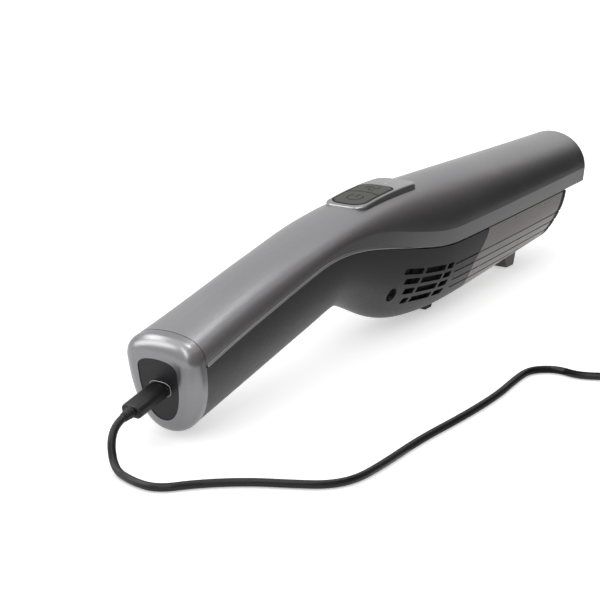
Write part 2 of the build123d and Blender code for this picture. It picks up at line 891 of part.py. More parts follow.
parts["motor_shaft"] = tube_x(motor_rear_x - shaft_tail, shaft_length, shaft_diameter)

impeller = tube_x(fan_x, fan_plate, fan_diameter, shaft_diameter)
impeller += tube_x(fan_x, fan_width, fan_hub, shaft_diameter)
blade_reach = (fan_diameter - fan_hub) / 2
blade_shape = Box(fan_width, fan_blade, blade_reach, align=(Align.MIN, Align.CENTER, Align.MIN))
blade = Pos(0, 0, fan_hub / 2 - fan_blade) * (Rot(fan_sweep, 0, 0) * blade_shape)
for n in range(fan_blades):
    impeller += Pos(fan_x, 0, axis_rise) * (Rot(360 * n / fan_blades, 0, 0) * blade)
impeller &= tube_x(fan_x, fan_width, fan_diameter, shaft_diameter)
parts["impeller"] = impeller

shroud_bore = fan_diameter + 2 * fan_gap
shroud_outer = shroud_bore + 2 * shroud_wall
shroud_front = fan_x + fan_width + fan_gap
shroud = tube_x(bracket_front, shroud_front - bracket_front, shroud_outer, shroud_bore)
shroud += tube_x(shroud_front, shroud_wall, shroud_outer, shroud_eye)
shroud_slot_shape = Box(shroud_slot, shroud_slot, 4 * shroud_wall)
slot = Pos(0, 0, (shroud_bore + shroud_wall) / 2) * shroud_slot_shape
for n in range(shroud_slots):
    shroud -= Pos(fan_x + fan_width / 2, 0, axis_rise) * (Rot(360 * n / shroud_slots, 0, 0) * slot)
parts["fan_shroud"] = shroud


def body_plate(x, thickness, inset):
    """Plate that fills the body's section from wall to wall, less a fit."""
    return along_x(full_wire(x, inset), thickness)


plate_inset = shell_wall + band_tuck_in + lower_reveal + part_gap
bracket = body_plate(bracket_x, bracket_thickness, plate_inset)
bracket -= tube_x(bracket_x - part_gap, bracket_thickness + 2 * part_gap, bearing_diameter + 2 * part_gap)
parts["motor_bracket"] = bracket
boot_bore = motor_diameter + 2 * running_gap
boot_outer = boot_bore + 2 * boot_wall
boot = tube_x(motor_rear_x - boot_wall, boot_depth, boot_outer, boot_bore)
boot += tube_x(motor_rear_x - boot_wall, boot_wall, boot_outer, boot_eye)
parts["motor_boot"] = boot
carrier_x = motor_rear_x + part_gap
carrier_bore = boot_outer + 2 * trim_gap
carrier = tube_x(carrier_x, carrier_width, carrier_bore + 2 * carrier_wall, carrier_bore)
carrier &= body_plate(carrier_x, carrier_width, plate_inset)
for side in (-1, 1):
    y0, y1 = sorted((side * lug_inner, side * (boss_inner - trim_gap)))
    lug = block(screw_x - lug_tail, carrier_x + carrier_width, y0, y1,
                screw_rise - lug_half_height, screw_rise + lug_half_height)
    carrier += lug - tube_x(screw_x - 2 * lug_tail, motor_length, carrier_bore)
carrier -= Pos(screw_x, 0, screw_rise) * screw_hole
parts["motor_carrier"] = carrier

screw = Cylinder(screw_head / 2, screw_head_height, align=on_end)
screw = fillet(screw.edges().sort_by(Axis.Z)[-1], screw_head_round)
cross_length, cross_width = screw_cross
cross = Box(cross_length, cross_width, screw_head_height) + Box(cross_width, cross_length, screw_head_height)
screw -= Pos(0, 0, screw_head_height) * cross
screw += Cylinder(screw_shank / 2, screw_length, align=(Align.CENTER, Align.CENTER, Align.MAX))
right_screw = Pos(screw_x, -screw_seat, screw_rise) * (Rot(90, 0, 0) * screw)
parts["housing_screws"] = Compound([right_screw, mirrored(right_screw)])

foam_rear = motor_rear_x - boot_wall + boot_depth + part_gap
foam_front = bracket_x - part_gap
foam_inset = shell_wall + slide_gap
foam_skin = skin(lower_wire, foam_rear - cap_step, foam_front + cap_step, cap_step, inset=foam_inset)
foam_core = skin(lower_wire, foam_rear - 2 * cap_step, foam_front + 2 * cap_step, cap_step,
                 inset=foam_inset + foam_thickness)
foam_low = groove_line(vent_rows - 1, groove_start) - vent_height
foam_high = groove_line(0, vent_start) + vent_height
foam_zone = block(foam_rear, foam_front, -far / 4, -lug_inner, foam_low, foam_high)
foam = ((foam_skin - foam_core) & foam_zone).solids()[0]
parts["exhaust_foam"] = Compound([foam, mirrored(foam)])

spigot_bore = spigot_diameter - 2 * spigot_wall
bulkhead = body_plate(bulkhead_x, bulkhead_thickness, plate_inset)
bulkhead -= tube_x(bulkhead_x - part_gap, bulkhead_thickness + 2 * part_gap, spigot_bore)
bulkhead += tube_x(bulkhead_x, bulkhead_thickness + spigot_length, spigot_diameter, spigot_bore)
parts["inlet_bulkhead"] = bulkhead


def collar_wire(x, inset):
    return ring_wire(station(x), collar_half_width - inset, collar_low_side, collar_high_side,
                     collar_bottom + inset, collar_top - inset, collar_fullness, collar_fullness)


seal = along_x(collar_wire(bulkhead_front, 0), seal_thickness)
seal_bore = along_x(collar_wire(bulkhead_front - part_gap, cup_wall), seal_thickness + 2 * part_gap)
parts["cup_seal"] = seal - seal_bore

# Dust cup: visible tub below the seam, hidden tunnel under the hood
collar_x = bulkhead_front + seal_thickness
mouth_region = edge_zone(mouth_edge, 0, far)
tub = (lower_skin & cup_zone) - mouth_region
tub_core = skin(lower_wire, bulkhead_x, body_length, lower_step, inset=cup_wall)
tub_core &= edge_zone(cup_edge, part_gap / 2 + cup_wall, far)
tub_core -= edge_zone(mouth_edge, -front_wall, far)
tub_core &= block(0, far, -far / 4, far / 4, 0, body_seam - seam_gap - cup_wall)
tunnel_length = nozzle_front - collar_x
tunnel = along_x(collar_wire(collar_x, 0), tunnel_length)
tunnel_core = along_x(collar_wire(collar_x - core_over, cup_wall), tunnel_length + 2 * core_over)
dust_cup = (tub + (tunnel - mouth_region)) - tub_core - tunnel_core
for cut in groove_prisms(cup_back_x - core_rise, body_length):
    dust_cup -= cut - groove_floor
parts["dust_cup"] = dust_cup

# Nozzle insert: lip around the mouth, tapering to the throat, with ears for the flap pin
insert_x = nozzle_front - nozzle_length
insert = along_x(collar_wire(insert_x, cup_wall + trim_gap), nozzle_front + lip_proud - insert_x)
insert -= edge_zone(lip_edge, 0, far)
lip = (lower_skin & edge_zone(mouth_edge, trim_gap, far)) - edge_zone(lip_edge, 0, far)
insert += lip
for cut in groove_prisms(mouth_x - hood_overhang, body_length):
    insert -= cut - groove_floor
throat_mid = (throat_low + throat_high) / 2
side_low = throat_mid - throat_side / 2
side_high = throat_mid + throat_side / 2
throat_wire = ring_wire(station(insert_x - part_gap), throat_half_width, side_low, side_high,
                        throat_low, throat_high, throat_fullness, throat_fullness)
mouth_wire = collar_wire(nozzle_front + core_rise, cup_wall + trim_gap + nozzle_wall)
funnel = Solid.make_loft([throat_wire, mouth_wire], ruled=True)
insert -= funnel
pin_x = insert_x - flap_gap - pin_diameter / 2 - knuckle_wall
pin_z = throat_high + pin_drop
knuckle = pin_diameter / 2 + running_gap + knuckle_wall
flap_half = throat_half_width + flap_margin
ear_inner = flap_half + flap_gap
ear_outer = ear_inner + ear_width
for side in (-1, 1):
    y0, y1 = sorted((side * ear_inner, side * ear_outer))
    insert += block(pin_x - knuckle, insert_x + part_gap, y0, y1, pin_z - knuckle, pin_z + knuckle)
pin_line = Pos(pin_x, 0, pin_z) * Rotation(90, 0, 0)
insert -= pin_line * Cylinder(pin_diameter / 2, far)
parts["nozzle_insert"] = insert
parts["flap_pin"] = pin_line * Cylinder(pin_diameter / 2, 2 * ear_outer)
flap_rear = insert_x - flap_gap - flap_thickness
flap = block(flap_rear, flap_rear + flap_thickness, -flap_half, flap_half, throat_low - flap_margin, pin_z)
flap += pin_line * Cylinder(knuckle, 2 * flap_half)
flap -= pin_line * Cylinder(pin_diameter / 2 + running_gap, far)
parts["inlet_flap"] = flap

# Filter: frame on the bulkhead spigot, pleated element, outer screen
frame_bore = spigot_diameter + 2 * running_gap
filter_x = bulkhead_front + slide_gap
element_x = filter_x + spigot_length
filter_front = filter_x + filter_length
frame = tube_x(filter_x, filter_flange_width, filter_flange, frame_bore)
frame += tube_x(filter_x, spigot_length, frame_bore + 2 * filter_sleeve, frame_bore)
frame += tube_x(element_x, filter_seat, filter_flange, pleat_inner - 2 * filter_seat_width)
frame += tube_x(filter_front - filter_end, filter_end, filter_flange)
cage_radius = pleat_inner / 2 - cage_rib
cage_length = filter_front - element_x
rib_shape = Box(cage_length, cage_rib, cage_rib, align=(Align.MIN, Align.CENTER, Align.CENTER))
for n in range(cage_ribs):
    rib = Rot(360 * n / cage_ribs, 0, 0) * (Pos(0, 0, cage_radius) * rib_shape)
    frame += Pos(element_x, 0, axis_rise) * rib
parts["filter_frame"] = frame
pleat_points = []
for n in range(2 * pleat_count):
    radius = (pleat_outer if n % 2 else pleat_inner) / 2
    angle = pi * n / pleat_count
    pleat_points.append((radius * cos(angle), radius * sin(angle)))
pleat_x = element_x + filter_seat
element_length = filter_front - filter_end - pleat_x
pleat_plane = Plane(origin=(pleat_x, 0, axis_rise), x_dir=(0, 1, 0), z_dir=(1, 0, 0))
pleats = make_face(Polyline(*pleat_points, close=True)) - Circle(pleat_inner / 2 - pleat_core)
parts["filter_pleats"] = extrude(pleat_plane * pleats, amount=element_length)
screen = tube_x(pleat_x, element_length, screen_diameter, screen_diameter - 2 * screen_wall)
screen_slot_shape = Box(element_length - 2 * screen_rim, screen_slot, 4 * screen_wall)
slot = Pos(0, 0, screen_diameter / 2) * screen_slot_shape
for n in range(screen_slots):
    screen -= Pos(pleat_x + element_length / 2, 0, axis_rise) * (Rot(360 * n / screen_slots, 0, 0) * slot)
parts["filter_screen"] = screen


# Feet that stop the body on the table
def foot(x, length, width, height):
    """Skid with sloped ends and round edges, cut to the skin above it."""
    slope = height * tan(radians(foot_taper))
    half = length / 2
    sides = [(x - half, 0), (x + half, 0), (x + half + slope, height), (x - half - slope, height)]
    solid = side_prism(sides, -width / 2, width / 2)
    solid = fillet(solid.edges().filter_by(Axis.Y).group_by(Axis.Z)[0], foot_round)
    return (solid - lower_skin).solids().sort_by(Axis.Z)[0]


rear_foot_height = bottom_z(rear_foot_x) + foot_in_skin
front_foot_height = bottom_z(front_foot_x) + foot_in_skin
parts["rear_foot"] = foot(rear_foot_x, rear_foot_length, rear_foot_width, rear_foot_height)
parts["front_foot"] = foot(front_foot_x, front_foot_length, front_foot_width, front_foot_height)

# Charging lead: free stretch on the table, then the spare length wound in two layers
table = cord_diameter / 2 + floor_gap
exit_u = plug_rear - plug_relief_length


def on_handle_axis(u):
    return (u * cos(pitch), 0, port_rise + u * sin(pitch))


exit_x = on_handle_axis(exit_u)[0]
route = [on_handle_axis(exit_u), on_handle_axis(exit_u - lead_out)]
route += [(exit_x + dx, y, table) for dx, y in free_run]


def route_radii(points):
    """Largest tangent arc that each corner's two runs allow."""
    radii = []
    for before, here, after in zip(points, points[1:], points[2:]):
        inward = Vector(*here) - Vector(*before)
        outward = Vector(*after) - Vector(*here)
        turn = inward.get_angle(outward)
        radii.append(arc_share * min(inward.length, outward.length) / tan(radians(turn / 2)))
    return radii


def swept(path):
    start = Plane(origin=path.position_at(0), z_dir=path.tangent_at(0))
    return sweep(start * Circle(cord_diameter / 2), path=path)


cord_radii = route_radii(route)
cord_path = FilletPolyline(*route, radius=cord_radii)
cord = swept(cord_path)
parts["charging_cord"] = cord
cord_section = pi * cord_diameter ** 2 / 4
print("cord radii", [round(r, 1) for r in cord_radii])
print("cord length", round(cord_path.length, 1))
print("cord volume ratio", round(cord.volume / cord_section / cord_path.length, 4))

entry = Vector(*route[-1])
heading = (entry - Vector(*route[-2])).normalized()
to_middle = Vector(-heading.Y, heading.X, 0)
coil_entry = entry + heading * coil_lead_in
coil_middle = coil_entry + to_middle * coil_radius
start_angle = atan2(-to_middle.Y, -to_middle.X)
half_turns = coil_turns / 2
tie_lift = tie_wall + tie_slack


def coil_point(turn):
    """Place after a number of turns: steady spiral in, climb where it reverses, spiral out."""
    radius = coil_radius - coil_pitch * (half_turns - abs(turn - half_turns))
    height = table + tie_lift * ease(turn, 0.0, coil_lift_turns)
    height += coil_layer * ease(turn, half_turns - coil_climb_turns, half_turns + coil_climb_turns)
    angle = start_angle + 2 * pi * turn
    return Vector(coil_middle.X + radius * cos(angle), coil_middle.Y + radius * sin(angle), height)


def coil_tangent(turn):
    step = 0.002
    return (coil_point(turn + step) - coil_point(turn - step)).normalized()


def arc_from(start, tangent, end):
    """Arc that leaves start along tangent and reaches end."""
    chord = end - start
    unit = chord.normalized()
    side = tangent - unit * tangent.dot(unit)
    if side.length < 1e-6:
        return Edge.make_line(start, end)
    bend = radians(tangent.get_angle(chord))
    middle = start + chord * 0.5 + side.normalized() * (chord.length / 2 * tan(bend / 2))
    return Edge.make_three_point_arc(start, middle, end)


def biarc(start, start_tangent, end, end_tangent):
    """Two tangent arcs that join two places and two directions."""
    chord = end - start
    both = start_tangent + end_tangent
    a = 2 * (1 - start_tangent.dot(end_tangent))
    b = 2 * chord.dot(both)
    c = -chord.dot(chord)
    reach = -c / b if abs(a) < 1e-9 else (-b + (b * b - 4 * a * c) ** 0.5) / (2 * a)
    reach = abs(reach)
    joint = (start + start_tangent * reach + end - end_tangent * reach) * 0.5
    first = arc_from(start, start_tangent, joint)
    return [first, arc_from(joint, first.tangent_at(1), end)]


quarters = int(round(4 * coil_turns))
knots = [(coil_point(n / 4), heading if n == 0 else coil_tangent(n / 4)) for n in range(quarters + 1)]
leave_point, leave_tangent = knots[-1]
leave_tangent = Vector(leave_tangent.X, leave_tangent.Y, 0).normalized()
knots[-1] = (leave_point, leave_tangent)
supply_axis = supply_body_height / 2 + floor_gap
tail_point = leave_point + leave_tangent * coil_tail
tail_point = Vector(tail_point.X, tail_point.Y, supply_axis)
knots.append((tail_point, leave_tangent))
coil_edges = [Edge.make_line(entry, coil_entry)]
for (p0, t0), (p1, t1) in zip(knots, knots[1:]):
    coil_edges += biarc(p0, t0, p1, t1)
cord_end = tail_point + leave_tangent * coil_lead_in
coil_edges.append(Edge.make_line(tail_point, cord_end))
coil_path = Wire(coil_edges)
coil = swept(coil_path)
parts["cord_coil"] = coil
samples = 600
coil_points = [coil_path.position_at(n / samples) for n in range(samples + 1)]
skip = int(samples * 3 * cord_diameter / coil_path.length)
least = min((p - q).length for n, p in enumerate(coil_points) for q in coil_points[n + skip:])
print("coil length", round(coil_path.length, 1), "least gap", round(least - cord_diameter, 2))
print("lead length", round(cord_path.length + coil_path.length, 1))

# Tie round the coil's turns, on the side away from the lead's exit
tie_angle = start_angle + pi
tie_mid = coil_radius - coil_pitch * coil_turns / 4
tie_wide = coil_pitch * (coil_turns / 2 + 1) + cord_diameter + 2 * tie_slack
tie_high = coil_layer + cord_diameter + 2 * tie_slack
tie_out = Vector(cos(tie_angle), sin(tie_angle), 0)
tie_along = Vector(-sin(tie_angle), cos(tie_angle), 0)
tie_middle = coil_middle + tie_out * tie_mid
tie_centre = Vector(tie_middle.X, tie_middle.Y, tie_high / 2 + tie_wall + floor_gap)
tie_place = Plane(origin=tie_centre, x_dir=tie_out, z_dir=tie_along)
tie_outline = RectangleRounded(tie_wide + 2 * tie_wall, tie_high + 2 * tie_wall, tie_corner + tie_wall)
tie_outline -= RectangleRounded(tie_wide, tie_high, tie_corner)
parts["cord_tie"] = extrude(tie_place * tie_outline, amount=tie_width / 2, both=True)

# Supply plug at the lead's far end
supply = Plane(origin=cord_end, x_dir=(-leave_tangent.Y, leave_tangent.X, 0), z_dir=leave_tangent)
supply_cone = Cone(relief_tip, relief_diameter / 2, relief_length, align=on_end)
parts["supply_relief"] = supply.location * supply_cone
supply_outline = RectangleRounded(supply_body_width, supply_body_height, supply_body_corner)
supply_body = Pos(0, 0, relief_length) * extrude(supply_outline, amount=supply_body_length)
parts["supply_body"] = supply.location * supply_body
shell_inner_width = supply_shell_width - 2 * supply_shell_wall
shell_inner_height = supply_shell_height - 2 * supply_shell_wall
shell_outline = Rectangle(supply_shell_width, supply_shell_height)
shell_outline -= Rectangle(shell_inner_width, shell_inner_height)
supply_shell = extrude(shell_outline, amount=supply_shell_length)
parts["supply_shell"] = supply.location * (Pos(0, 0, relief_length + supply_body_length) * supply_shell)

# The origin goes to the middle of the vacuum's own box, on the table
lead_names = ("plug_shell", "plug_body", "plug_relief", "charging_cord", "cord_coil", "cord_tie",
              "supply_relief", "supply_body", "supply_shell")
vacuum_boxes = [shape.bounding_box() for name, shape in parts.items() if name not in lead_names]
rear_x = min(box.min.X for box in vacuum_boxes)
front_x = max(box.max.X for box in vacuum_boxes)
to_frame = Pos(-(rear_x + front_x) / 2, 0, 0)
print("frame shift", round(-(rear_x + front_x) / 2, 4))

os.makedirs("parts", exist_ok=True)
for name, shape in parts.items():
    export_step(to_frame * shape, f"parts/{name}.step")
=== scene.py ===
import math

import bmesh
import bpy
import numpy as np
from bpy.props import FloatProperty, FloatVectorProperty, IntProperty, PointerProperty
from mathutils import Matrix, Vector


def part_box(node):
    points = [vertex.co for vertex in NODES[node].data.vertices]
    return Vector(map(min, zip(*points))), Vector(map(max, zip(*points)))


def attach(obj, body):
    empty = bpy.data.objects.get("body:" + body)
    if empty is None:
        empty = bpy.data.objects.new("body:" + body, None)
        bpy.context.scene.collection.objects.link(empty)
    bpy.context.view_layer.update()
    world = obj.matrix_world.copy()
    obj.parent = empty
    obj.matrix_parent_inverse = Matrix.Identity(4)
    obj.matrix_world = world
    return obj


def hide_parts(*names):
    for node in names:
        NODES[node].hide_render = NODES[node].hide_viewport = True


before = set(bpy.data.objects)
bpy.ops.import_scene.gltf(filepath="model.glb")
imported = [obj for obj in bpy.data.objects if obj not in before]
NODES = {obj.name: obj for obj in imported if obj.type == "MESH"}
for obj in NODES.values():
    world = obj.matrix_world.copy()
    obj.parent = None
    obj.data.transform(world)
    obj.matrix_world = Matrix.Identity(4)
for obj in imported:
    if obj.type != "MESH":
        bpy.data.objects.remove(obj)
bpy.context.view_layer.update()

bl_info = {
    "name": "Handheld Vacuum",
    "version": (1, 0, 0),
    "blender": (4, 5, 0),
    "location": "3D View > Sidebar > Vacuum",
    "description": "Finishes, lead and small details for a handheld vacuum on its charging lead",
    "category": "Object",
}

UP = np.array((0.0, 0.0, 1.0))
WHITE = (1.0, 1.0, 1.0)

# Where the handle's rear end stands in the row frame. Places along the body below are measured forward from it.
PORT_X = -0.2182266

# Camera axes and place that give the photograph's view.
CAMERA_PLACE = (PORT_X - 0.67157, -0.50501, 0.3275)
CAMERA_RIGHT = (0.53502, -0.84485, 0.0)
CAMERA_UP = (0.24702, 0.15643, 0.9563)
CAMERA_BACK = (-0.80789, -0.51162, 0.2924)

# Overhead softbox: where it hangs, what it points at, its width and its depth.
OVERHEAD_PLACE = (-0.1, 0.15, 1.4)
OVERHEAD_TARGET = (0.0, 0.0, 0.04)
OVERHEAD_WIDTH = 1.4
OVERHEAD_DEPTH = 1.0

# Floor: just under the feet, made of rings and spokes.
FLOOR_HEIGHT = -0.0002
FLOOR_RINGS = 24
FLOOR_SPOKES = 96

# Card that stands on the right: its ends, its distance, its top, where that rises and by how much, and its tint.
# It grows lighter with the height over a line of (place, height) points, between the two heights of its fade.
STANDING_ENDS = (-0.34, 1.0)
STANDING_Y = -0.125
STANDING_TOP = 0.15
STANDING_TOP_RISE = 0.45
STANDING_RISE = (0.0, 0.2)
STANDING_TINT = (1.0, 0.93, 0.90)
STANDING_LINE = ((-0.2, -0.10), (0.2, 0.10), (0.8, 0.20))
STANDING_FADE = (-0.01, 0.42)

# Card that lies beside the body: its ends, its edges, its height, and how much lighter it grows forward and where.
LYING_ENDS = (-0.165, 1.0)
LYING_EDGES = (-0.125, -0.045)
LYING_HEIGHT = 0.0006
LYING_GAIN = 1.35
LYING_FADE = (0.03, 0.22)

# Smaller cards: middle, target, the axis that the length follows, half length and half width.
CAP_CREST = (-0.21, 0.0, 0.05)
FORWARD = (1.0, 0.0, 0.0)
SMALL_CARDS = {
    "top_card": ((-0.81, 0.70, 0.74), CAP_CREST, (-0.15, -0.67, 0.64), 0.62, 0.24),
    "streak_card": ((-0.06, -0.080, 0.42), (-0.2, -0.012, 0.052), FORWARD, 0.07, 0.028),
    "pad_card": ((-0.17, 0.52, 0.67), (-0.05, 0.0, 0.082), FORWARD, 0.24, 0.12),
    "shoulder_card": ((-0.87, -0.46, 0.92), CAP_CREST, (-0.47, -0.62, -0.73), 0.55, 0.10),
}

# Handle axis, from the nozzle end back to the lead.
HANDLE_BACK = np.array((-0.98161, 0.0, -0.19091))

# Charging port: its middle on the face of its panel, and the rim's half width, half height and radius.
PORT_MIDDLE = (PORT_X + 0.0003, 0.0, 0.02676)
PORT_RIM = (0.0062, 0.0039, 0.00016)

# Crown of the control pad and its keys: its highest place and its radius along the length.
PAD_HIGH_X = 0.211
PAD_CROWN_RADIUS = 0.355

# The two keys together: middle, halves, corner radius, how far the ends bow out, and how far the keys stand proud.
KEYS_MIDDLE_X = 0.1912
KEYS_HALF_LENGTH = 0.0180
KEYS_HALF_WIDTH = 0.0099
KEYS_CORNER = 0.0060
KEYS_BOW = 0.0012
KEYS_PROUD = 0.0004

# How far out from the keys the line of their seal runs. The seal is a very dark rubber ring that paints the shade in
# the gap round the keys.
SEAL_SHADE_OUT = 0.00062

# Power sign: radius of its ring, half of the gap in it, and the ends of its upright.
POWER_RADIUS = 0.0045
POWER_HALF_GAP = math.radians(35.0)
POWER_UPRIGHT = (0.0006, 0.0056)

# Fan sign: how far ahead of the key's middle it lies, its blades, how far each turns, where it starts and its reach.
FAN_SHIFT = 0.001
FAN_BLADES = 3
FAN_SWEEP = 1.7
FAN_START = 0.0008
FAN_REACH = 0.0036

# Seam between the shells: the body's side and the seam's height, each as (place, value, slope).
SIDE_KNOTS = ((0.0, 0.0216, -0.07), (0.085, 0.0195, 0.0), (0.180, 0.0225, 0.065), (0.275, 0.0267, 0.0))
SEAM_KNOTS = ((0.0, 0.0367, 0.212), (0.115, 0.06108, 0.212), (0.262, 0.0443, 0.0))

# How far the band above the seam is tucked in, and where that starts and is full.
TUCK_IN = 0.0009
TUCK_START = 0.140
TUCK_END = 0.225

# Rolled edge along the seam: where it starts, thins and ends, its halves, and the share of its depth that is sunk.
EDGE_START = 0.0105
EDGE_FADE = 0.175
EDGE_END = 0.225
EDGE_HALF_DEPTH = 0.00042
EDGE_HALF_HEIGHT = 0.0008
EDGE_SUNK = 0.15

# Free stretch of the lead, from the plug to the coil: control points in the air, then (place, side) of those that lie
# on the table, and their height.
LEAD_IN_AIR = ((-0.02866, 0.0, 0.02113), (-0.03877, 0.0, 0.01916))
LEAD_ON_TABLE = (
    (-0.04456, -0.0052), (-0.05216, -0.0225), (-0.05296, -0.0370), (-0.03846, -0.0486), (-0.02436, -0.0664),
    (-0.01556, -0.0850), (-0.00776, -0.0998), (0.00504, -0.1072), (0.02704, -0.1084), (0.06504, -0.1076),
    (0.10304, -0.1106), (0.14004, -0.1112), (0.16804, -0.1082), (0.18304, -0.1078), (0.19044, -0.1132),
    (0.19404, -0.1215), (0.19084, -0.1335), (0.19804, -0.1485), (0.20654, -0.1630), (0.21554, -0.1770),
)
LEAD_LIE = 0.00205
LEAD_ROUTE = np.array([*LEAD_IN_AIR, *((x, y, LEAD_LIE) for x, y in LEAD_ON_TABLE)]) + (PORT_X, 0.0, 0.0)

# Coil: how far past the route it starts, how far and over how many turns it lifts, and half of the turns of its climb.
COIL_ENTRY = 0.004
COIL_LIFT = 0.00095
COIL_LIFT_TURNS = 0.3
COIL_HALF_CLIMB = 0.25

# From the coil to the supply plug: reach and drop of the step down, and reach of the last two points.
STEP_REACH = 0.012
STEP_DROP = 0.0006
TAIL_REACH = (0.030, 0.034)

# Strain reliefs: radius at the plug and at the lead, depth of the grooves, and places along each.
RELIEF_THICK = 0.0030
RELIEF_THIN = 0.0023
RELIEF_GROOVE = 0.00035
RELIEF_PLACES = 49

# Inside of the supply plug: where the tongue starts past the lead's end, how far it lies below the plug's axis, and
# its length and halves. The contacts start further on, lie on top of it, and have their own length and halves.
TONGUE_START = 0.0301
TONGUE_DROP = 0.0008
TONGUE_SIZE = (0.0132, 0.0054, 0.0009)
CONTACT_START = 0.004
CONTACT_RISE = 0.0010
CONTACT_SIZE = (0.0085, 0.0005, 0.00012)
CONTACT_OFFSETS = (-0.0035, -0.001, 0.001, 0.0035)

# Motor windings: radius of each ring, halves of its section, lobes round it and their depth.
WINDING_RADIUS = 0.0138
WINDING_HALF_WIDTH = 0.0011
WINDING_HALF_DEPTH = 0.0009
WINDING_LOBES = 6
WINDING_LOBE_DEPTH = 0.18


def amount(label, words, default, **more):
    """Plain number property."""
    return FloatProperty(name=label, description=words, default=default, **more)


def length(label, words, default, **more):
    """Length property in metres."""
    return amount(label, words, default, unit="LENGTH", subtype="DISTANCE", precision=5, **more)


def count(label, words, default, **more):
    """Whole number property."""
    return IntProperty(name=label, description=words, default=default, **more)


def colour(label, words, default):
    """Linear colour property."""
    return FloatVectorProperty(name=label, description=words, default=default, size=3, subtype="COLOR",
                               min=0.0, max=1.0)


class VacuumColours(bpy.types.PropertyGroup):
    """Colours of the visible finishes."""
    shell: colour("Shell", "Satin metallic paint of the upper shell", (0.245, 0.243, 0.250))
    cap: colour("End cap", "Satin silver of the cap on the handle's end", (0.225, 0.225, 0.231))
    pad: colour("Control pad", "Satin paint of the raised control pad", (0.250, 0.248, 0.254))
    housing: colour("Housing", "Matte plastic under the handle and round the motor", (0.0165, 0.0165, 0.0175))
    panel: colour("Port panel", "Plastic of the panel round the charging port", (0.011, 0.011, 0.013))
    cup: colour("Dust cup", "Smoky plastic of the dust cup", (0.156, 0.141, 0.136))
    keys: colour("Keys", "Rubber of the two keys", (0.104, 0.104, 0.099))
    lead: colour("Lead", "Jacket of the charging lead", (0.0055, 0.0052, 0.0052))


class VacuumSizes(bpy.types.PropertyGroup):
    """Sizes of the pieces that are made here."""
    lead_diameter: length("Lead diameter", "Outer diameter of the charging lead", 0.004, min=0.001, max=0.01)
    coil_radius: length("Coil radius", "Radius of the coil's outer turn", 0.0266)
    coil_pitch: length("Coil pitch", "Distance between turns in one layer of the coil", 0.0046)
    coil_layer: length("Coil layer", "Height between the coil's two layers", 0.0047)
    coil_turns: amount("Coil turns", "Turns in both layers of the coil", 4.25)
    coil_points: count("Points per turn", "Control points in each turn", 16, min=12)
    relief_ribs: count("Relief ribs", "Ribs on each strain relief", 3, min=1)
    plug_relief: length("Plug relief", "Length of the strain relief at the charging plug", 0.0055)
    supply_relief: length("Supply relief", "Length of the strain relief at the supply plug", 0.008)
    mark_width: length("Mark width", "Stroke width of the marks on the keys", 0.0010)
    mark_height: length("Mark height", "How far the marks stand above the keys", 0.00018)
    # The seal round the keys is very dark rubber in their gap: partly a seal, partly painted shade.
    seal_shade_width: length("Seal width", "Width of the seal round the keys", 0.00108)
    seal_shade_height: length("Seal height", "How far the seal round the keys stands up", 0.00012)


class VacuumStage(bpy.types.PropertyGroup):
    """Camera, floor and light."""
    lens: amount("Lens", "Focal length of the camera in millimetres", 111.0)
    floor_radius: length("Floor radius", "Radius of the pale floor", 9.0)
    floor_tone: colour("Floor", "Colour of the floor", (0.95, 0.95, 0.95))
    floor_lift: amount("Floor lift", "How far the floor is lifted towards white", 0.42)
    overhead_power: amount("Overhead", "Power of the overhead softbox in watts", 3.5, unit="POWER")
    room_light: amount("Room", "Strength of the even light from all round", 0.88)
    card_dark: amount("Card foot", "Tone of the standing card at its foot", 0.015)
    card_light: amount("Card top", "Tone of the standing card at its top", 1.0)
    low_card_tone: amount("Low card", "Tone of the card that lies beside the body", 0.42)
    top_card_light: amount("Top card", "Strength of the card over the handle's end", 4.5)
    streak_light: amount("Streak card", "Strength of the card that lights the handle's edge", 11.0)
    pad_card_light: amount("Pad card", "Strength of the card that lights the pad's rear wall", 6.0)
    shoulder_light: amount("Shoulder card", "Strength of the card that lights the cap's shoulder", 7.0)


# Surfaces

def unit(vector):
    """Vector of length one."""
    vector = np.asarray(vector, float)
    return vector / np.linalg.norm(vector)


def all_round(steps):
    """Angles of one full turn in even steps, without the last one."""
    return np.linspace(0, 2 * np.pi, steps, endpoint=False)


def eased(value, start, end):
    """Zero before start, one after end, and between them a cubic that is level at both."""
    t = np.clip((value - start) / (end - start), 0.0, 1.0)
    return t * t * (3 - 2 * t)


def mesh_piece(name, grids, finish, body, ring=True):
    """One smooth object from grids of points.

    Each grid holds rows of points. Neighbouring rows and columns make quads, and with ring the last column joins
    the first. Points that fall together are merged, so a row that shrinks to one point closes the end.
    """
    points = np.concatenate([grid.reshape(-1, 3) for grid in grids])
    quads = []
    first = 0
    for grid in grids:
        rows, columns = grid.shape[:2]
        number = first + np.arange(rows * columns).reshape(rows, columns)
        if ring:
            number = np.hstack([number, number[:, :1]])
        corners = (number[:-1, :-1], number[1:, :-1], number[1:, 1:], number[:-1, 1:])
        quads.append(np.stack(corners, axis=-1).reshape(-1, 4))
        first += rows * columns
    quads = np.concatenate(quads)
    mesh = bpy.data.meshes.new(name)
    mesh.vertices.add(len(points))
    mesh.vertices.foreach_set("co", points.ravel())
    mesh.loops.add(quads.size)
    mesh.loops.foreach_set("vertex_index", quads.ravel())
    mesh.polygons.add(len(quads))
    mesh.polygons.foreach_set("loop_start", np.arange(0, quads.size, 4))
    mesh.update(calc_edges=True)
    work = bmesh.new()
    work.from_mesh(mesh)
    bmesh.ops.remove_doubles(work, verts=work.verts, dist=1e-7)
    bmesh.ops.dissolve_degenerate(work, edges=work.edges, dist=1e-8)
    bmesh.ops.recalc_face_normals(work, faces=work.faces)
    work.to_mesh(mesh)
    work.free()
    mesh.shade_smooth()
    mesh.materials.append(finish)
    piece = bpy.data.objects.new(name, mesh)
    bpy.context.scene.collection.objects.link(piece)
    if body:
        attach(piece, body)
    return piece


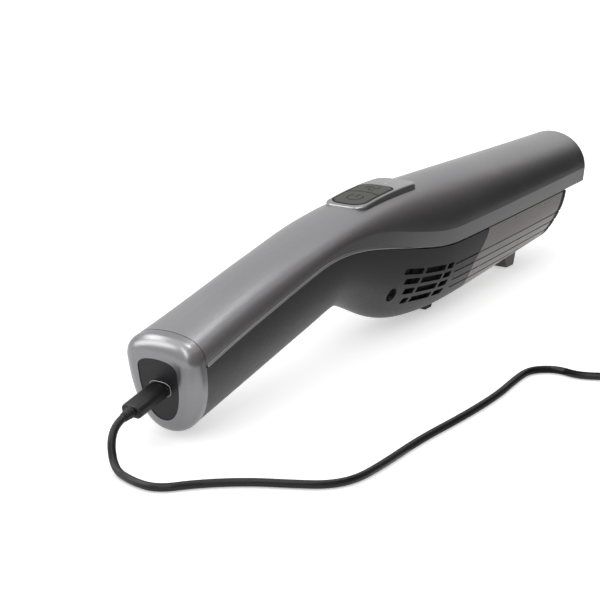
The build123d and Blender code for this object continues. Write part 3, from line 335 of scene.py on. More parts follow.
def turned(start, axis, reach, radius, around=40):
    """Surface of revolution: radius given at each reach along the axis, turned round it. The ends close to a point."""
    axis = unit(axis)
    side = unit(np.cross(axis, UP))
    over = np.cross(side, axis)
    reach = np.concatenate([reach[:1], reach, reach[-1:]])
    radius = np.concatenate([[0.0], radius, [0.0]])
    angle = all_round(around)
    round_it = np.cos(angle)[:, None] * side + np.sin(angle)[:, None] * over
    return np.asarray(start) + reach[:, None, None] * axis + radius[:, None, None] * round_it


def stroke(path, width, height, around=16):
    """Raised line on a level face: a flat oval carried along a path, shrinking to a point at both ends.

    The oval's size at a distance from an end is the height of a half circle there, so the ends are round.
    """
    step = np.gradient(path, axis=0)
    along = step / np.linalg.norm(step, axis=1)[:, None]
    side = np.stack([-along[:, 1], along[:, 0], np.zeros(len(path))], axis=1)
    run = np.concatenate([[0.0], np.cumsum(np.linalg.norm(np.diff(path, axis=0), axis=1))])
    to_end = np.clip(np.minimum(run, run[-1] - run) / (width / 2), 0.0, 1.0)
    size = np.sqrt(1.0 - (1.0 - to_end) ** 2)
    angle = all_round(around)
    across = (size * width / 2)[:, None] * np.cos(angle)
    rise = (size * height)[:, None] * np.sin(angle)
    return path[:, None, :] + across[..., None] * side[:, None, :] + rise[..., None] * UP


def superellipse(half_width, half_height, power, angle):
    """Halves times the cosine and the sine of an angle, whose sizes are raised to two over the power."""
    across = half_width * np.sign(np.cos(angle)) * np.abs(np.cos(angle)) ** (2 / power)
    upward = half_height * np.sign(np.sin(angle)) * np.abs(np.sin(angle)) ** (2 / power)
    return across, upward


def bar(start, axis, side, reach, half_width, half_height, power=5.0, around=32, edge_share=0.06, end_size=0.9):
    """Rounded bar: a superellipse of the given halves carried along an axis, closed at both ends.

    Its edges are broken: over a share of the smaller half it shrinks to end_size.
    """
    axis = unit(axis)
    side = unit(side)
    over = np.cross(axis, side)
    across, upward = superellipse(half_width, half_height, power, all_round(around))
    edge = edge_share * min(half_width, half_height)
    place = np.array((0.0, 0.0, edge, reach - edge, reach, reach))
    size = np.array((0.0, end_size, 1.0, 1.0, end_size, 0.0))
    oval = across[:, None] * side + upward[:, None] * over
    return np.asarray(start) + place[:, None, None] * axis + size[:, None, None] * oval


def oval_ring(middle, axis, half_width, half_height, radius, power=3.0, around=120, section=12):
    """Ring: a small circle carried round a superellipse that lies across an axis and is level along Y."""
    axis = unit(axis)
    side = np.array((0.0, 1.0, 0.0))
    over = np.cross(axis, side)
    turn = np.linspace(0, 2 * np.pi, around + 1)[:, None]
    across, upward = superellipse(half_width, half_height, power, turn)
    path = across * side + upward * over
    outward = path / np.linalg.norm(path, axis=1)[:, None]
    angle = all_round(section)
    circle = np.cos(angle)[None, :, None] * outward[:, None, :] + np.sin(angle)[None, :, None] * axis
    return np.asarray(middle) + path[:, None, :] + radius * circle


def through(knots, places):
    """Cubic through (place, value, slope) knots, at an array of places."""
    place, value, slope = np.array(knots).T
    first = np.clip(np.searchsorted(place, places) - 1, 0, len(place) - 2)
    span = place[first + 1] - place[first]
    t = (places - place[first]) / span
    rise = t * t * (3 - 2 * t)
    bend = slope[first] * t * (1 - t) ** 2 + slope[first + 1] * t * t * (t - 1)
    return value[first] * (1 - rise) + value[first + 1] * rise + span * bend


def rolled_edge(side, steps=220, around=14):
    """Oval bead along the upper shell's lower edge: it follows the seam and thins out to nothing ahead of the bend."""
    places = np.linspace(EDGE_START, EDGE_END, steps)
    tuck = TUCK_IN * eased(places, TUCK_START, TUCK_END)
    out = through(SIDE_KNOTS, places) - tuck - EDGE_SUNK * EDGE_HALF_DEPTH
    rise = through(SEAM_KNOTS, places)
    full = 1.0 - eased(places, EDGE_FADE, EDGE_END)
    full *= np.sqrt(np.clip((places - EDGE_START) / EDGE_HALF_HEIGHT, 0.0, 1.0))
    turn = all_round(around)
    depth = EDGE_HALF_DEPTH * full[:, None] * np.cos(turn)
    height = EDGE_HALF_HEIGHT * full[:, None] * np.sin(turn)
    forward = np.broadcast_to((places + PORT_X)[:, None], depth.shape)
    return np.stack([forward, side * (out[:, None] + depth), rise[:, None] + height], axis=-1)


def window_line(half_length, half_width, corner, bow, arc_steps=24, side_steps=40, overlap=6):
    """Keys' window from above, walked once round and a little on: straight sides, round corners and bowed ends.

    Each end is an arc whose middle stands out by bow. The corner circles touch that arc from inside.
    """
    sweep = (half_width ** 2 + bow ** 2) / (2 * bow)
    arc_middle = half_length + bow - sweep
    low = half_width - corner
    tilt = math.asin(low / (sweep - corner))
    corner_middle = arc_middle + (sweep - corner) * math.cos(tilt)

    def arc(x, y, radius, start, end):
        angle = np.linspace(start, end, arc_steps)
        return np.stack([x + radius * np.cos(angle), y + radius * np.sin(angle)], axis=1)

    end = np.concatenate([arc(corner_middle, -low, corner, -math.pi / 2, -tilt),
                          arc(arc_middle, 0.0, sweep, -tilt, tilt)[1:-1],
                          arc(corner_middle, low, corner, tilt, math.pi / 2)])
    along = np.linspace(corner_middle, -corner_middle, side_steps)[1:-1]
    side = np.stack([along, np.full(len(along), half_width)], axis=1)
    return np.concatenate([end, side, -end, -side, end[:overlap]])


def level_line(middle, away, angle):
    """Level line round a middle, from a distance and an angle for each point."""
    return middle + np.stack([away * np.cos(angle), away * np.sin(angle), 0 * angle], axis=1)


def power_lines(middle, ring_steps=73, upright_steps=25):
    """Power sign: a circle with a gap ahead, and an upright that starts near the middle and runs out of the gap."""
    angle = np.linspace(POWER_HALF_GAP, 2 * math.pi - POWER_HALF_GAP, ring_steps)
    run = np.linspace(*POWER_UPRIGHT, upright_steps)
    return [level_line(middle, POWER_RADIUS, angle), level_line(middle, run, 0 * run)]


def fan_lines(middle, steps=49):
    """Fan sign: blades whose angle grows evenly while their distance grows as a quarter of a sine wave."""
    t = np.linspace(0.0, 1.0, steps)
    away = FAN_START + FAN_REACH * np.sin(np.pi * 0.5 * t)
    return [level_line(middle, away, 2 * np.pi * blade / FAN_BLADES + FAN_SWEEP * t) for blade in range(FAN_BLADES)]


def winding_rings(low, high, around=120, section=20):
    """Rings of wire on the stator's two faces: an oval carried round the axis, thicker and thinner in even lobes."""
    turn = all_round(around)[:, None]
    angle = all_round(section)
    lobes = 1.0 + WINDING_LOBE_DEPTH * np.cos(WINDING_LOBES * turn)
    away = WINDING_RADIUS + WINDING_HALF_WIDTH * lobes * np.cos(angle)
    depth = WINDING_HALF_DEPTH + WINDING_HALF_DEPTH * lobes * np.sin(angle)
    across = (low.y + high.y) / 2 + away * np.cos(turn)
    upward = (low.z + high.z) / 2 + away * np.sin(turn)
    rings = [np.stack([along, across, upward], axis=-1) for along in (low.x - depth, high.x + depth)]
    return [np.concatenate([ring, ring[:1]]) for ring in rings]


def coil_points(sizes, entry, heading):
    """Control points of the coil, the way the lead leaves it, and the place on the outer turn where it does.

    After a number of turns the angle is that many full circles on from the entry, the radius falls steadily to the
    middle of the winding and grows again, and the height climbs one layer at the middle. A curve with these control
    points runs inside them by the cosine of half a step, so the radius is divided by it.
    """
    half = sizes.coil_turns / 2
    turn = np.arange(1, round(sizes.coil_turns * sizes.coil_points) + 1) / sizes.coil_points
    to_middle = np.array((-heading[1], heading[0], 0.0))
    middle = entry + sizes.coil_radius * to_middle
    radius = sizes.coil_radius - sizes.coil_pitch * (half - np.abs(turn - half))
    radius = radius / math.cos(math.pi / sizes.coil_points)
    angle = math.atan2(-to_middle[1], -to_middle[0]) + 2 * np.pi * turn
    lift = COIL_LIFT * eased(turn, 0.0, COIL_LIFT_TURNS)
    climb = sizes.coil_layer * eased(turn, half - COIL_HALF_CLIMB, half + COIL_HALF_CLIMB)
    points = np.stack([middle[0] + radius * np.cos(angle), middle[1] + radius * np.sin(angle),
                       entry[2] + lift + climb], axis=1)
    outward = np.array((math.cos(angle[-1]), math.sin(angle[-1]), 0.0))
    leave = np.array((-outward[1], outward[0], 0.0))
    return points, leave, middle + sizes.coil_radius * outward


def facing_sheet(middle, target, along, half_length, half_width, rows=9, columns=5):
    """Flat sheet that faces a target: half_length to each side along an axis, half_width across it."""
    middle = np.asarray(middle)
    facing = unit(np.asarray(target) - middle)
    along = unit(np.asarray(along) - np.dot(along, facing) * facing)
    across = np.cross(facing, along)
    a = np.linspace(-half_length, half_length, rows)[:, None, None]
    b = np.linspace(-half_width, half_width, columns)[None, :, None]
    return middle + a * along + b * across


# Nodes that the finishes share

def new_finish(name, roughness, metallic=0.0, **sockets):
    """Material with the plain values of its Principled shader set; returns it with its node tree and shader."""
    material = bpy.data.materials.new(name)
    material.use_nodes = True
    tree = material.node_tree
    shader = tree.nodes["Principled BSDF"]
    shader.inputs["Roughness"].default_value = roughness
    shader.inputs["Metallic"].default_value = metallic
    for socket, value in sockets.items():
        shader.inputs[socket.replace("_", " ").title().replace("Ior", "IOR")].default_value = value
    return material, tree, shader


def new_node(tree, kind, inputs):
    """Node of a kind; an input is linked where it is given another node's output, and otherwise set."""
    node = tree.nodes.new("ShaderNode" + kind)
    for name, value in inputs.items():
        if isinstance(value, bpy.types.NodeSocket):
            tree.links.new(value, node.inputs[name])
        else:
            node.inputs[name].default_value = value
    return node


def placed(tree, stretch=(1.0, 1.0, 1.0), turn=(0.0, 0.0, 0.0)):
    """Object coordinates through a Mapping node."""
    place = new_node(tree, "TexCoord", {}).outputs["Object"]
    return new_node(tree, "Mapping", {"Vector": place, "Scale": stretch, "Rotation": turn}).outputs["Vector"]


def separated(tree):
    """Object coordinates, as one output for each axis."""
    return new_node(tree, "SeparateXYZ", {"Vector": placed(tree)}).outputs


def noise(tree, vector, scale, detail=2.0, rough=0.5):
    """Noise at a scale in cycles per metre."""
    inputs = {"Vector": vector, "Scale": scale, "Detail": detail, "Roughness": rough}
    return new_node(tree, "TexNoise", inputs).outputs["Fac"]


def cells(tree, vector, scale):
    """Distance from the middles of Voronoi cells at a scale in cycles per metre."""
    return new_node(tree, "TexVoronoi", {"Vector": vector, "Scale": scale}).outputs["Distance"]


def waves(tree, vector, scale, axis, distortion=0.0):
    """Bands across one axis at a scale in bands per 31.4 cm."""
    node = new_node(tree, "TexWave", {"Vector": vector, "Scale": scale, "Distortion": distortion})
    node.bands_direction = axis
    return node.outputs["Fac"]


def mapped(tree, value, low, high, start=0.0, end=1.0, smooth=False):
    """A value moved from the range between start and end to the one between low and high, and kept within it."""
    inputs = {"Value": value, "From Min": start, "From Max": end, "To Min": low, "To Max": high}
    node = new_node(tree, "MapRange", inputs)
    node.interpolation_type = "SMOOTHSTEP" if smooth else "LINEAR"
    return node.outputs["Result"]


def stretched(tree, value, low=0.0, high=1.0, spread=0.4):
    """Noise, which lies mostly within a spread round a half, stretched to the range between low and high."""
    return mapped(tree, value, low, high, 0.5 - spread / 2, 0.5 + spread / 2)


def joined(tree, operation, first, second):
    """Two values through a Math node."""
    node = new_node(tree, "Math", {0: first, 1: second})
    node.operation = operation
    return node.outputs["Value"]


def looking(tree):
    """One on rays that look at a thing, straight, mirrored or through glass, and zero on rays that gather light."""
    ray = new_node(tree, "LightPath", {}).outputs
    seen = joined(tree, "MAXIMUM", ray["Is Camera Ray"], ray["Is Glossy Ray"])
    return joined(tree, "MAXIMUM", seen, ray["Is Transmission Ray"])


def shade(tone, share):
    """Colour made darker or lighter."""
    return tuple(min(channel * share, 1.0) for channel in tone)


def colour_between(tree, shader, factor, dark, light):
    """Shader's colour moved between two by a factor."""
    node = new_node(tree, "Mix", {"Factor": factor})
    node.data_type = "RGBA"
    for socket, value in (("A", dark), ("B", light)):
        target = [item for item in node.inputs if item.name == socket and item.type == "RGBA"][0]
        target.default_value = (*value, 1.0)
    mixed = [item for item in node.outputs if item.type == "RGBA"][0]
    tree.links.new(mixed, shader.inputs["Base Color"])


def tone_between(tree, shader, factor, tone, dark, light):
    """Shader's colour moved by a factor between two shades of one tone."""
    colour_between(tree, shader, factor, shade(tone, dark), shade(tone, light))


def gloss_between(tree, shader, value, low, high):
    """Shader's roughness moved by a noise between two values."""
    tree.links.new(stretched(tree, value, low, high), shader.inputs["Roughness"])


def relief(tree, shader, height, depth, strength):
    """Bump of a depth in metres on the shader's normal."""
    node = new_node(tree, "Bump", {"Height": height, "Distance": depth, "Strength": strength})
    tree.links.new(node.outputs["Normal"], shader.inputs["Normal"])


# Finishes

def satin_paint(name, tone, roughness, metallic):
    """Metallic paint: fine flake in the colour, a faint orange peel and slow changes of gloss."""
    material, tree, shader = new_finish(name, roughness, metallic)
    place = placed(tree)
    flake = noise(tree, place, scale=800.0)
    tone_between(tree, shader, stretched(tree, flake), tone, 0.975, 1.025)
    cloud = noise(tree, place, scale=14.0, detail=3.0)
    gloss_between(tree, shader, cloud, roughness - 0.03, roughness + 0.03)
    relief(tree, shader, noise(tree, place, scale=450.0, detail=1.0), depth=0.00002, strength=0.2)
    return material


def moulded_plastic(name, tone, roughness, gloss=0.28):
    """Spark-eroded moulding: small pits, faint mottling and gloss that follows the pits."""
    material, tree, shader = new_finish(name, roughness, specular_ior_level=gloss)
    place = placed(tree)
    pits = noise(tree, place, scale=1000.0, detail=3.0, rough=0.6)
    mottle = noise(tree, place, scale=45.0, detail=4.0)
    mixed = joined(tree, "ADD", mapped(tree, pits, 0.0, 0.5), mapped(tree, mottle, 0.0, 0.5))
    tone_between(tree, shader, stretched(tree, mixed), tone, 0.94, 1.06)
    gloss_between(tree, shader, pits, roughness - 0.05, roughness + 0.06)
    relief(tree, shader, pits, depth=0.00005, strength=0.3)
    return material


def smoky_plastic(name, tone):
    """Smoky tinted plastic: lets a little light through, with faint slanted ribs moulded near its rear edge."""
    material, tree, shader = new_finish(name, 0.3, transmission_weight=0.06, specular_ior_level=0.3)
    ribs = waves(tree, placed(tree, turn=(0.0, math.radians(-18.0), 0.0)), 135.0, "X")
    near_edge = mapped(tree, separated(tree)["X"], 1.0, 0.0, start=0.078, end=0.100, smooth=True)
    ribbed = joined(tree, "MULTIPLY", ribs, near_edge)
    swirl = noise(tree, placed(tree, (1.0, 1.0, 3.0)), scale=38.0, detail=3.0)
    mixed = joined(tree, "ADD", stretched(tree, swirl, high=0.6), mapped(tree, ribbed, 0.0, 0.4))
    tone_between(tree, shader, mixed, tone, 0.9, 1.12)
    gloss_between(tree, shader, swirl, 0.27, 0.36)
    relief(tree, shader, ribbed, depth=0.0001, strength=0.5)
    return material


def soft_rubber(name, tone, roughness, gloss=0.2):
    """Soft rubber: matte, with a fine speckle that catches a little dust."""
    material, tree, shader = new_finish(name, roughness, specular_ior_level=gloss)
    place = placed(tree)
    speckle = noise(tree, place, scale=1100.0, rough=0.6)
    tone_between(tree, shader, stretched(tree, speckle, spread=0.3), tone, 0.94, 1.07)
    patch = noise(tree, place, scale=60.0, detail=3.0)
    gloss_between(tree, shader, patch, roughness - 0.05, roughness + 0.07)
    relief(tree, shader, speckle, depth=0.00003, strength=0.3)
    return material


def lead_jacket(name, tone):
    """Cable jacket: smooth extruded plastic with slow waves and a few dull patches."""
    material, tree, shader = new_finish(name, 0.34, specular_ior_level=0.3)
    place = placed(tree)
    patch = noise(tree, place, scale=160.0, detail=3.0)
    tone_between(tree, shader, stretched(tree, patch, spread=0.3), tone, 0.85, 1.35)
    gloss_between(tree, shader, patch, 0.28, 0.44)
    relief(tree, shader, noise(tree, place, scale=900.0), depth=0.00004, strength=0.25)
    return material


def drawn_metal(name, tone, roughness, stretch=(30.0, 900.0, 900.0)):
    """Drawn or turned metal: fine lines along one axis in the colour, gloss and relief."""
    material, tree, shader = new_finish(name, roughness, metallic=1.0)
    lines = noise(tree, placed(tree, stretch), scale=3.0, detail=3.0, rough=0.6)
    tone_between(tree, shader, stretched(tree, lines), tone, 0.88, 1.08)
    gloss_between(tree, shader, lines, roughness - 0.06, roughness + 0.08)
    relief(tree, shader, lines, depth=0.00002, strength=0.25)
    return material


def circuit_board(name):
    """Solder mask over copper: traces as the joints between large bricks, and a weave in the gloss."""
    material, tree, shader = new_finish(name, 0.35, coat_weight=0.3)
    place = placed(tree)
    brick = new_node(tree, "TexBrick", {
        "Vector": place, "Scale": 160.0, "Mortar Size": 0.035, "Mortar": (0.030, 0.190, 0.080, 1.0),
        "Color1": (0.010, 0.075, 0.030, 1.0), "Color2": (0.012, 0.095, 0.038, 1.0),
    })
    tree.links.new(brick.outputs["Color"], shader.inputs["Base Color"])
    gloss_between(tree, shader, noise(tree, place, scale=1500.0), 0.28, 0.42)
    relief(tree, shader, brick.outputs["Fac"], depth=0.00004, strength=0.4)
    return material


def banded_finish(name, dark, light, scale, axis, roughness, metallic):
    """Fine bands across one axis, as stacked sheets or wound wire show."""
    material, tree, shader = new_finish(name, roughness, metallic)
    bands = waves(tree, placed(tree), scale, axis, distortion=0.4)
    speck = noise(tree, placed(tree), scale=400.0)
    mixed = joined(tree, "ADD", mapped(tree, bands, 0.0, 0.7), mapped(tree, speck, 0.0, 0.3))
    colour_between(tree, shader, mixed, dark, light)
    gloss_between(tree, shader, speck, roughness - 0.06, roughness + 0.06)
    relief(tree, shader, bands, depth=0.0001, strength=0.4)
    return material


def fibrous(name, tone, scale, depth):
    """Paper or open foam: irregular cells with threads between them."""
    material, tree, shader = new_finish(name, 0.9, specular_ior_level=0.2)
    holes = cells(tree, placed(tree), scale)
    thread = noise(tree, placed(tree, (1.0, 4.0, 1.0)), scale * 0.6, detail=4.0, rough=0.7)
    mixed = joined(tree, "MULTIPLY", holes, mapped(tree, thread, 0.6, 1.4))
    tone_between(tree, shader, mixed, tone, 0.75, 1.08)
    gloss_between(tree, shader, thread, 0.82, 0.98)
    relief(tree, shader, mixed, depth, strength=0.7)
    return material


def clear_lens(name):
    """Light pipe: clear plastic with a faint frost."""
    material, tree, shader = new_finish(name, 0.12, transmission_weight=0.7, ior=1.49)
    frost = noise(tree, placed(tree), scale=1800.0)
    colour_between(tree, shader, frost, (0.70, 0.74, 0.78), (0.86, 0.90, 0.94))
    tree.links.new(mapped(tree, frost, 0.08, 0.2), shader.inputs["Roughness"])
    return material


# Finishes that take no colour from the properties: how each is made, and the values it is made with.
PLAIN_FINISHES = {
    "tie_strap": (soft_rubber, (0.016, 0.016, 0.017), 0.7),
    "gold_contacts": (drawn_metal, (0.85, 0.60, 0.24), 0.28),
    "plated_shell": (drawn_metal, (0.72, 0.72, 0.74), 0.2, (900.0, 900.0, 60.0)),
    "rim_steel": (drawn_metal, (0.42, 0.42, 0.43), 0.3),
    "foot_rubber": (soft_rubber, (0.030, 0.030, 0.031), 0.6),
    "screw_steel": (drawn_metal, (0.012, 0.012, 0.013), 0.6),
    "light_pipe": (clear_lens,),
    # Very dark rubber of the ring in the keys' gap, which paints the shade there.
    "ring_rubber": (soft_rubber, (0.008, 0.008, 0.008), 0.65),
    "nozzle_plastic": (moulded_plastic, (0.020, 0.020, 0.021), 0.55, 0.10),
    "foot_plastic": (moulded_plastic, (0.095, 0.093, 0.092), 0.5),
    "seal_rubber": (soft_rubber, (0.009, 0.009, 0.009), 0.62),
    "pin_steel": (drawn_metal, (0.55, 0.55, 0.56), 0.25, (900.0, 30.0, 900.0)),
    "inner_moulding": (moulded_plastic, (0.011, 0.011, 0.012), 0.5),
    "filter_paper": (fibrous, (0.72, 0.71, 0.67), 1400.0, 0.0002),
    "screen_steel": (drawn_metal, (0.48, 0.48, 0.50), 0.3, (700.0, 700.0, 700.0)),
    "drawn_steel": (drawn_metal, (0.52, 0.52, 0.54), 0.32),
    "blackened_steel": (drawn_metal, (0.030, 0.030, 0.032), 0.45),
    "stacked_sheets": (banded_finish, (0.16, 0.16, 0.17), (0.34, 0.33, 0.33), 320.0, "X", 0.4, 0.9),
    "cell_sleeve": (satin_paint, (0.03, 0.16, 0.27), 0.32, 0.1),
    "circuit_board": (circuit_board,),
    "switch_plastic": (moulded_plastic, (0.012, 0.012, 0.012), 0.4),
    "open_foam": (fibrous, (0.010, 0.010, 0.010), 900.0, 0.0006),
    "copper_wire": (banded_finish, (0.30, 0.10, 0.04), (0.80, 0.36, 0.17), 260.0, "Y", 0.3, 1.0),
}


def finish_named(name, make, *values):
    """The finish of that name, made when it is first asked for."""
    return bpy.data.materials.get(name) or make(name, *values)


def plain(name):
    """A finish from the table above."""
    return finish_named(name, *PLAIN_FINISHES[name])


def coat(finish, *names):
    """Gives CAD nodes a finish."""
    for name in names:
        NODES[name].material_slots[0].material = finish


# Stage

def make_room(scene, stage):
    """White room: its even light is a little weaker than the white that is seen of it."""
    world = bpy.data.worlds.new("room")
    scene.world = world
    world.use_nodes = True
    tree = world.node_tree
    background = tree.nodes["Background"]
    tree.links.new(mapped(tree, looking(tree), stage.room_light, 1.0), background.inputs["Strength"])
    background.inputs["Color"].default_value = (*WHITE, 1.0)


def make_floor(stage):
    """Pale floor: a flat disc of even rings and spokes, lifted towards white where it is looked at."""
    finish, tree, shader = new_finish("pale_floor", 0.8, specular_ior_level=0.0)
    tone_between(tree, shader, noise(tree, placed(tree), scale=3.0), stage.floor_tone, 0.995, 1.0)
    tree.links.new(mapped(tree, looking(tree), 0.0, stage.floor_lift), shader.inputs["Emission Strength"])
    shader.inputs["Emission Color"].default_value = (*WHITE, 1.0)
    ring = np.linspace(0.0, stage.floor_radius, FLOOR_RINGS)[:, None]
    angle = all_round(FLOOR_SPOKES)
    disc = np.stack(np.broadcast_arrays(ring * np.cos(angle), ring * np.sin(angle), FLOOR_HEIGHT), axis=-1)
    mesh_piece("floor", [disc], finish, None)


def reflection_card(name, sheet, tint=WHITE):
    """Glowing card that only reflections see; returns its node tree and shader."""
    finish, tree, shader = new_finish(name, 1.0, specular_ior_level=0.0)
    shader.inputs["Base Color"].default_value = (0.0, 0.0, 0.0, 1.0)
    shader.inputs["Emission Color"].default_value = (*tint, 1.0)
    card = mesh_piece(name, [sheet], finish, None, ring=False)
    for ray in ("camera", "diffuse", "shadow", "transmission"):
        setattr(card, "visible_" + ray, False)
    return tree, shader


def make_standing_card(stage, columns=55, rows=13):
    """Upright sheet on the right whose top rises forward. Its tone grows with the height over a sloping line."""
    along = np.linspace(*STANDING_ENDS, columns)
    top = STANDING_TOP + STANDING_TOP_RISE * eased(along, *STANDING_RISE)
    up = np.linspace(0.0, 1.0, rows) * top[:, None]
    sheet = np.stack(np.broadcast_arrays(along[:, None], STANDING_Y, up), axis=-1)
    tree, shader = reflection_card("standing_card", sheet, STANDING_TINT)
    place = separated(tree)
    (rear, rear_height), (middle, middle_height), (front, front_height) = STANDING_LINE
    near = mapped(tree, place["X"], rear_height, middle_height, rear, middle)
    ahead = mapped(tree, place["X"], 0.0, front_height - middle_height, middle, front)
    level = joined(tree, "SUBTRACT", place["Z"], joined(tree, "ADD", near, ahead))
    tree.links.new(mapped(tree, level, stage.card_dark, stage.card_light, *STANDING_FADE),
                   shader.inputs["Emission Strength"])


def make_lying_card(stage, columns=55, rows=5):
    """Level sheet beside the body that starts ahead of the cap and grows lighter forward."""
    along = np.linspace(*LYING_ENDS, columns)[:, None]
    out = np.linspace(*LYING_EDGES, rows)
    sheet = np.stack(np.broadcast_arrays(along, out, LYING_HEIGHT), axis=-1)
    tree, shader = reflection_card("lying_card", sheet)
    tone = stage.low_card_tone
    tree.links.new(mapped(tree, separated(tree)["X"], tone, LYING_GAIN * tone, *LYING_FADE, smooth=True),
                   shader.inputs["Emission Strength"])


def make_small_cards(stage):
    """Flat sheets: over the handle's end, for the handle's streak, for the pad's rear wall and the cap's shoulder."""
    strengths = (stage.top_card_light, stage.streak_light, stage.pad_card_light, stage.shoulder_light)
    for (name, measures), strength in zip(SMALL_CARDS.items(), strengths):
        shader = reflection_card(name, facing_sheet(*measures))[1]
        shader.inputs["Emission Strength"].default_value = strength


def make_overhead(scene, stage):
    """Softbox that hangs over the object."""
    lamp = bpy.data.lights.new("overhead", "AREA")
    lamp.shape = "RECTANGLE"
    lamp.size = OVERHEAD_WIDTH
    lamp.size_y = OVERHEAD_DEPTH
    lamp.energy = stage.overhead_power
    light = bpy.data.objects.new("overhead", lamp)
    light.location = OVERHEAD_PLACE
    light.rotation_euler = (Vector(OVERHEAD_TARGET) - light.location).to_track_quat("-Z", "Y").to_euler()
    scene.collection.objects.link(light)


def make_camera(scene, stage):
    """Camera at the photograph's viewing angle."""
    eye = bpy.data.cameras.new("camera")
    eye.lens = stage.lens
    eye.sensor_width = 36.0
    eye.clip_start = 0.01
    eye.clip_end = 100.0
    camera = bpy.data.objects.new("camera", eye)
    axes = Matrix((CAMERA_RIGHT, CAMERA_UP, CAMERA_BACK)).transposed().to_4x4()
    camera.matrix_world = Matrix.Translation(CAMERA_PLACE) @ axes
    scene.collection.objects.link(camera)
    scene.camera = camera


# Steps

class VACUUM_OT_stage(bpy.types.Operator):
    """Make the floor, the light and the camera"""
    bl_idname = "vacuum.stage"
    bl_label = "Stage"

    def execute(self, context):
        scene = context.scene
        stage = scene.vacuum_stage
        scene.view_settings.view_transform = "Standard"
        make_room(scene, stage)
        make_floor(stage)
        make_standing_card(stage)
        make_lying_card(stage)
        make_small_cards(stage)
        make_overhead(scene, stage)
        make_camera(scene, stage)
        return {"FINISHED"}


class VACUUM_OT_lead(bpy.types.Operator):
    """Make the charging lead with its coil, strain reliefs and supply plug details"""
    bl_idname = "vacuum.lead"
    bl_label = "Charging lead"

    def execute(self, context):
        sizes = context.scene.vacuum_sizes
        colours = context.scene.vacuum_colours
        jacket = finish_named("lead_jacket", lead_jacket, colours.lead)
        plug_finish = finish_named("plug_moulding", moulded_plastic, shade(colours.lead, 1.5), 0.42)

        heading = unit(LEAD_ROUTE[-1] - LEAD_ROUTE[-2])
        turns, leave, coil_end = coil_points(sizes, LEAD_ROUTE[-1] + COIL_ENTRY * heading, heading)
        low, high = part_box("supply_body")
        tail = coil_end + np.array(TAIL_REACH)[:, None] * leave
        tail[:, 2] = (low.z + high.z) / 2
        step_down = coil_end + STEP_REACH * leave
        step_down[2] = turns[-1, 2] - STEP_DROP
        points = np.concatenate([LEAD_ROUTE, turns, step_down[None], tail])

        curve = bpy.data.curves.new("charging_lead", "CURVE")
        curve.dimensions = "3D"
        spline = curve.splines.new("NURBS")
        spline.points.add(len(points) - 1)
        spline.points.foreach_set("co", np.hstack([points, np.ones((len(points), 1))]).ravel())
        spline.order_u = 3
        spline.use_endpoint_u = True
        curve.resolution_u = 8
        curve.bevel_depth = sizes.lead_diameter / 2
        curve.bevel_resolution = 5
        curve.use_fill_caps = True
        curve.materials.append(jacket)
        lead = bpy.data.objects.new("charging_lead", curve)
        context.scene.collection.objects.link(lead)
        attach(lead, "body")
        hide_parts("charging_cord", "cord_coil")

        # Each relief tapers evenly, less a cubed cosine wave that cuts the grooves between its ribs.
        part = np.linspace(0.0, 1.0, RELIEF_PLACES)
        radius = RELIEF_THICK + (RELIEF_THIN - RELIEF_THICK) * part
        radius -= RELIEF_GROOVE * (0.5 - 0.5 * np.cos(2 * np.pi * sizes.relief_ribs * part)) ** 3

        def ribbed(name, end, axis, reach):
            grid = turned(end - reach * axis, axis, reach * part, radius)
            return mesh_piece(name, [grid], plug_finish, "body")

        plug_relief = ribbed("plug_relief_ribbed", LEAD_ROUTE[0], HANDLE_BACK, sizes.plug_relief)
        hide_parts("plug_relief")
        supply_relief = ribbed("supply_relief_ribbed", tail[-1], -leave, sizes.supply_relief)
        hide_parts("supply_relief")

        side = np.array((-leave[1], leave[0], 0.0))
        tongue_start = tail[-1] + TONGUE_START * leave - TONGUE_DROP * UP
        tongue = mesh_piece("supply_tongue", [bar(tongue_start, leave, side, *TONGUE_SIZE)],
                            plug_finish, "body")
        contact_start = tongue_start + CONTACT_RISE * UP + CONTACT_START * leave
        strips = [bar(contact_start + offset * side, leave, side, *CONTACT_SIZE) for offset in CONTACT_OFFSETS]
        contacts = mesh_piece("supply_contacts", strips, plain("gold_contacts"), "body")

        coat(plug_finish, "plug_body", "supply_body")
        coat(plain("tie_strap"), "cord_tie")
        coat(plain("plated_shell"), "plug_shell", "supply_shell", "usb_socket")
        mesh_piece("port_rim", [oval_ring(PORT_MIDDLE, HANDLE_BACK, *PORT_RIM)], plain("rim_steel"), "body")
        return {"FINISHED"}


class VACUUM_OT_shells(bpy.types.Operator):
    """Finish the upper shell, the housing, the end cap and the rear foot, and roll the upper shell's edge in a lighter
    paint that is a painted highlight
    """
    bl_idname = "vacuum.shells"
    bl_label = "Shells"

    def execute(self, context):
        colours = context.scene.vacuum_colours
        coat(finish_named("shell_paint", satin_paint, colours.shell, 0.36, 0.92), "upper_shell")
        coat(finish_named("housing_plastic", moulded_plastic, colours.housing, 0.42, 0.37), "lower_shell")
        coat(finish_named("cap_paint", satin_paint, colours.cap, 0.30, 0.9), "end_cap")
        coat(finish_named("panel_plastic", moulded_plastic, colours.panel, 0.4), "port_panel")
        coat(plain("foot_rubber"), "rear_foot")
        coat(plain("screw_steel"), "housing_screws")
        # The bead is the shell's paint made 1.3 times lighter: a painted highlight along the shell's lower edge.
        edge_paint = finish_named("edge_paint", satin_paint, shade(colours.shell, 1.3), 0.36, 0.9)
        beads = [rolled_edge(side) for side in (-1.0, 1.0)]
        mesh_piece("shell_edge", beads, edge_paint, "body")
        return {"FINISHED"}


